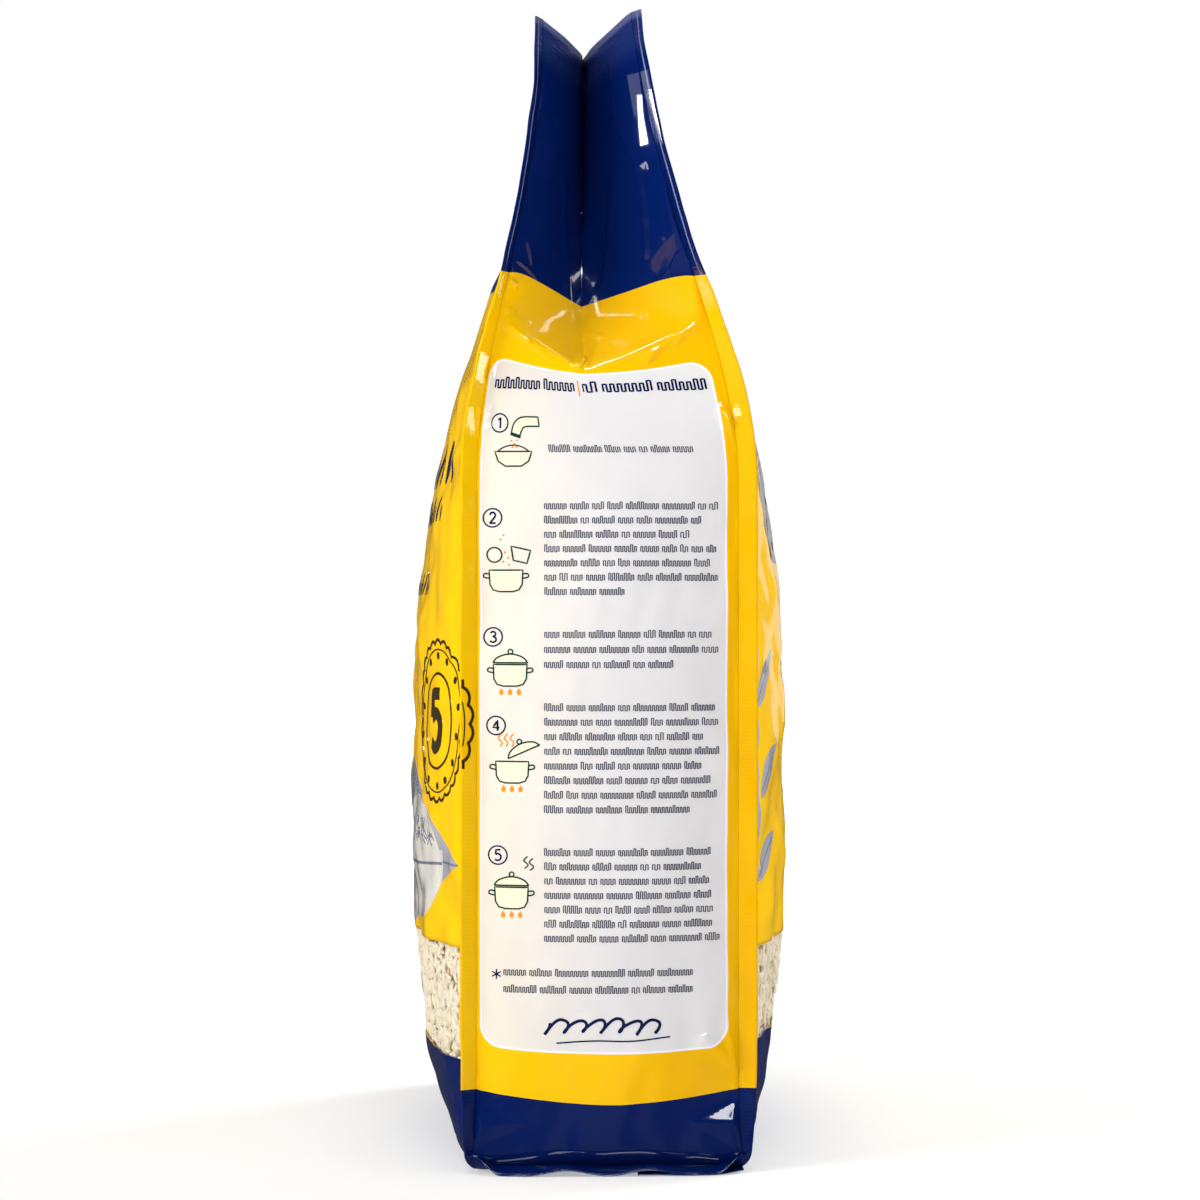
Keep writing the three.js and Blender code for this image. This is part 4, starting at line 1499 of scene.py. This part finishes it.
def back_print():
    """The broad back: a plain nameplate, rows of small print, and sprays of grey leaves."""
    navy, grey, vein = Ink(back), Ink(back, 0.05), Ink(back, 0.09)
    navy.area(rounded_box((-60, 206), (60, 248), 18), (0, 227), 26)
    line = Ink(back, 0.1)
    line.stroke(rounded_box((-56, 210), (56, 244), 14), 0.8, closed=True, curved=False)
    for way in (-1, 1):
        stem = [(way * 84, 92), (way * 90, 120), (way * 86, 150), (way * 90, 186)]
        grey.stroke(stem, 1.2)
        for height, reach, rise in LEAVES:
            foot = (way * (87 - abs(height - 130) * 0.02), height)
            leaf(grey, vein, foot, (foot[0] + way * reach * 0.9, height + rise), 10)
        leaf(grey, vein, (way * 90, 184), (way * 82, 206), 9)
    draw = np.random.default_rng(97)
    text = Ink(back)
    for block, rows in ((188.0, 5), (154.0, 6), (116.0, 4)):
        for row in range(rows):
            end = draw.uniform(34, 46) if row < rows - 1 else draw.uniform(-10, 20)
            word_row(text, -20.0, end, block - row * 5.6, 1.9, draw)
    navy.piece("back_nameplate", "ink_navy")
    line.piece("back_nameplate_line", "ink_gold")
    grey.piece("back_leaves", "ink_cloth")
    vein.piece("back_leaf_veins", "ink_fold")
    text.piece("back_small_print", "ink_navy_text")


inks = {name: plain_film(name, rgb) for name, rgb in INK_COLOURS.items()}
serving_label()
table_label()
front_print()
back_print()

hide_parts(NODE)


# Floor, light and camera


FLOOR_SIZE = 6.0           # metres from the sack to each edge
FLOOR_GLOW = 0.41          # beside the sack; further off the floor fades into the white behind it
FLOOR_FADE = (0.22, 1.1)   # where the fading starts and ends, in metres from the sack
FAR_GLOW = 1.1
FLOOR_GREY = (0.6, 0.6, 0.6, 1)
FLOOR_DROP = 0.0002        # so that it doesn't lie in the plane of the base


def stage_floor():
    mesh = bpy.data.meshes.new("floor")
    corners = [(FLOOR_SIZE * x, FLOOR_SIZE * y, 0) for x, y in ((-1, -1), (1, -1), (1, 1), (-1, 1))]
    mesh.from_pydata(corners, [], [(0, 1, 2, 3)])
    floor = bpy.data.objects.new("floor", mesh)
    floor.location.z = -FLOOR_DROP
    floor.visible_glossy = False
    bpy.context.scene.collection.objects.link(floor)
    nodes = material_nodes("floor")
    places = nodes.add("ShaderNodeTexCoord").outputs["Object"]
    away = nodes.add("ShaderNodeVectorMath", {0: places}, operation="LENGTH").outputs["Value"]
    diffuse = nodes.add("ShaderNodeBsdfDiffuse", {"Color": FLOOR_GREY})
    glow = nodes.add("ShaderNodeEmission", {"Strength": nodes.ramp(away, *FLOOR_FADE, FLOOR_GLOW, FAR_GLOW)})
    both = nodes.add("ShaderNodeAddShader", {0: diffuse.outputs[0], 1: glow.outputs[0]})
    mesh.materials.append(nodes.finish(both.outputs[0]))


def add_lamp(name, kind, power):
    light = bpy.data.lights.new(name, kind)
    light.energy = power
    lamp = bpy.data.objects.new(name, light)
    bpy.context.scene.collection.objects.link(lamp)
    return lamp


def area_light(name, place, aim, size, power):
    """A flat lamp of that width and height, turned to face its aim."""
    lamp = add_lamp(name, "AREA", power)
    lamp.data.shape = "RECTANGLE"
    lamp.data.size, lamp.data.size_y = size
    lamp.location = place
    way = np.array(aim, float) - np.array(place, float)
    dip = math.atan2(math.hypot(way[0], way[1]), -way[2])
    lamp.rotation_euler = (dip, 0, math.atan2(way[1], way[0]) - math.pi / 2)
    lamp.visible_camera = False
    return lamp


def glint_box(name, place, aim, size, brightness):
    """A small bright surface that only shows mirrored in the film."""
    lamp = area_light(name, place, aim, size, brightness * math.pi * size[0] * size[1])
    lamp.visible_diffuse = False
    return lamp


SOFT_AIM = (0, 0, 0.18)
SOFT_SIZE = (0.8, 0.9)

# Broad lights that aren't mirrored in the film: place in metres, power, size
SOFT_BOXES = {
    "soft_left": ((0.75, -1.3, 0.75), 16.5, SOFT_SIZE),
    "soft_right": ((0.75, 1.3, 0.7), 3, SOFT_SIZE),
    "soft_front": ((1.75, -0.6, 0.3), 4, SOFT_SIZE),
    "soft_back_left": ((-1.0, -1.3, 0.7), 2.5, SOFT_SIZE),
    "soft_back_right": ((-1.0, 1.3, 0.7), 30, SOFT_SIZE),
    "soft_top": ((0.4, 0.0, 1.7), 4, (0.5, 0.5)),
}

# Lamps that only show mirrored in the film: place, aim and size in metres, brightness
GLINT_BOXES = {
    "glint_high": ((1.03, -0.05, 1.17), (0.1, 0, 0.27), (0.75, 0.14), 60),
    "glint_base": ((0.234, 0.081, 0.08), (0.254, 0.061, -0.12), (0.03, 0.055), 15),
    "glint_behind": ((-1.1, 0.45, 0.25), (0, 0.06, 0.2), (0.3, 0.3), 0.5),
}

GLINT_DISTANCE = 7.0       # of a near lamp from the film

# Near lamps: the film and place where each is mirrored, its width and height there, turn and brightness
FILM_GLINTS = [
    (side, (40.4, 353.6), (3.4, 17.5), 5, 34),
    (side, (40.0, 362.0), (5.0, 14.0), 9, 0.9),
    (side, (36.2, 338.5), (0.5, 2.6), 40, 6),
    (front_fin, (-46.4, 268.0), (3.6, 9.0), -16, 6),
    (front_fin, (-47.0, 251.0), (1.6, 7.0), -8, 6),
    (back_fin, (45.0, 254.0), (2.2, 3.4), 25, 7),
]


def film_glint(name, sheet, place, size, turn, brightness):
    """A small lamp that the camera sees mirrored at a place of the film, with that size in the picture."""
    foot = sheet.place([place], 0)[0]
    normal = sheet.place([place], 1)[0] - foot
    sight = foot - np.array(bpy.context.scene.camera.location) / MM
    sight /= np.linalg.norm(sight)
    right = np.cross(sight, (0, 0, 1))
    right /= np.linalg.norm(right)
    up = np.cross(right, sight)
    angle = math.radians(turn)
    across = right * math.cos(angle) + up * math.sin(angle)
    tall = up * math.cos(angle) - right * math.sin(angle)
    axes = [way - 2 * (way @ normal) * normal for way in (across, tall, sight)]
    spot = foot + axes[2] * GLINT_DISTANCE
    lamp = glint_box(name, spot * MM, foot * MM, [length * MM for length in size], brightness)
    lamp.rotation_euler = Matrix(axes).transposed().to_euler()


SUN_POWER = 0.8
SUN_SPREAD = 80            # degrees, for soft shadows
SUN_TILT = (12, 8, 0)


def wide_sun():
    lamp = add_lamp("wide_sun", "SUN", SUN_POWER)
    lamp.data.angle = math.radians(SUN_SPREAD)
    lamp.rotation_euler = tuple(math.radians(a) for a in SUN_TILT)
    lamp.visible_glossy = False


# Brightness of the white room
SEEN_BEHIND = 1.0          # what the camera sees past the object
ROOM_LIGHT = 0.12          # the even light on the object
MIRRORED_ROOM = 0.008      # what film mirrors above the horizon
MIRRORED_FLOOR = 0.15
MIRRORED_BACK = 0.05       # what film mirrors of the room on the far side of the object
DARKER = 0.3               # share of the floor's brightness in its two darker stretches

# Where those parts of the room change, as parts of a direction one long
HORIZON = (-0.2, -0.06)
DARKER_START = (0.16, 0.30)
DARKER_END = (0.48, 0.62)
BACK_START = (-0.8, -0.5)


def white_world():
    """White behind the object and a softer light from all round it.

    Film mirrors a dark room above the horizon and a grey floor below it, darker to either side of the camera,
    and a dim grey from the room's far side.
    """
    nodes = Nodes(bpy.data.worlds.new("studio"))
    way = nodes.add("ShaderNodeTexCoord").outputs["Generated"]
    parts = nodes.add("ShaderNodeSeparateXYZ", {0: way}).outputs
    aside = nodes.maths("ABSOLUTE", parts["Y"])
    near = nodes.ramp(aside, *DARKER_START, 1.0, DARKER)
    far = nodes.ramp(aside, *DARKER_END, 0.0, 1.0 - DARKER)
    low = nodes.maths("MULTIPLY", nodes.maths("ADD", near, far), MIRRORED_FLOOR)
    mirrored = nodes.lerp(nodes.ramp(parts["Z"], *HORIZON, 1.0, 0.0), MIRRORED_ROOM, low)
    mirrored = nodes.lerp(nodes.ramp(parts["X"], *BACK_START, 1.0, 0.0), mirrored, MIRRORED_BACK)
    path = nodes.add("ShaderNodeLightPath").outputs
    light = nodes.lerp(path["Is Glossy Ray"], ROOM_LIGHT, mirrored)
    light = nodes.lerp(path["Is Camera Ray"], light, SEEN_BEHIND)
    background = nodes.add("ShaderNodeBackground", {"Color": WHITE, "Strength": light})
    bpy.context.scene.world = nodes.finish(background.outputs[0], "ShaderNodeOutputWorld")


CAMERA_DISTANCE = 1204.0
CAMERA_AZIMUTH = 88.1      # degrees round from the front, towards +X
CAMERA_HEIGHT = 187.4
CAMERA_ASIDE = 0.9
LENS = 100.7


def photo_camera():
    azimuth = math.radians(CAMERA_AZIMUTH)
    x = CAMERA_DISTANCE * math.sin(azimuth) + CAMERA_ASIDE * math.cos(azimuth)
    y = -CAMERA_DISTANCE * math.cos(azimuth) + CAMERA_ASIDE * math.sin(azimuth)
    data = bpy.data.cameras.new("photo_camera")
    data.lens = LENS
    data.sensor_width = 36.0
    data.clip_start = 0.05
    data.clip_end = 30.0
    camera = bpy.data.objects.new("photo_camera", data)
    camera.location = (x * MM, y * MM, CAMERA_HEIGHT * MM)
    camera.rotation_euler = (math.pi / 2, 0, azimuth)
    bpy.context.scene.collection.objects.link(camera)
    bpy.context.scene.camera = camera


photo_camera()
stage_floor()
white_world()
for name, (place, power, size) in SOFT_BOXES.items():
    area_light(name, place, SOFT_AIM, size, power).visible_glossy = False
wide_sun()
for name, (place, aim, size, brightness) in GLINT_BOXES.items():
    glint_box(name, place, aim, size, brightness)
for number, glint in enumerate(FILM_GLINTS):
    film_glint(f"glint_near_{number}", *glint)
bpy.context.scene.view_settings.view_transform = "Standard"
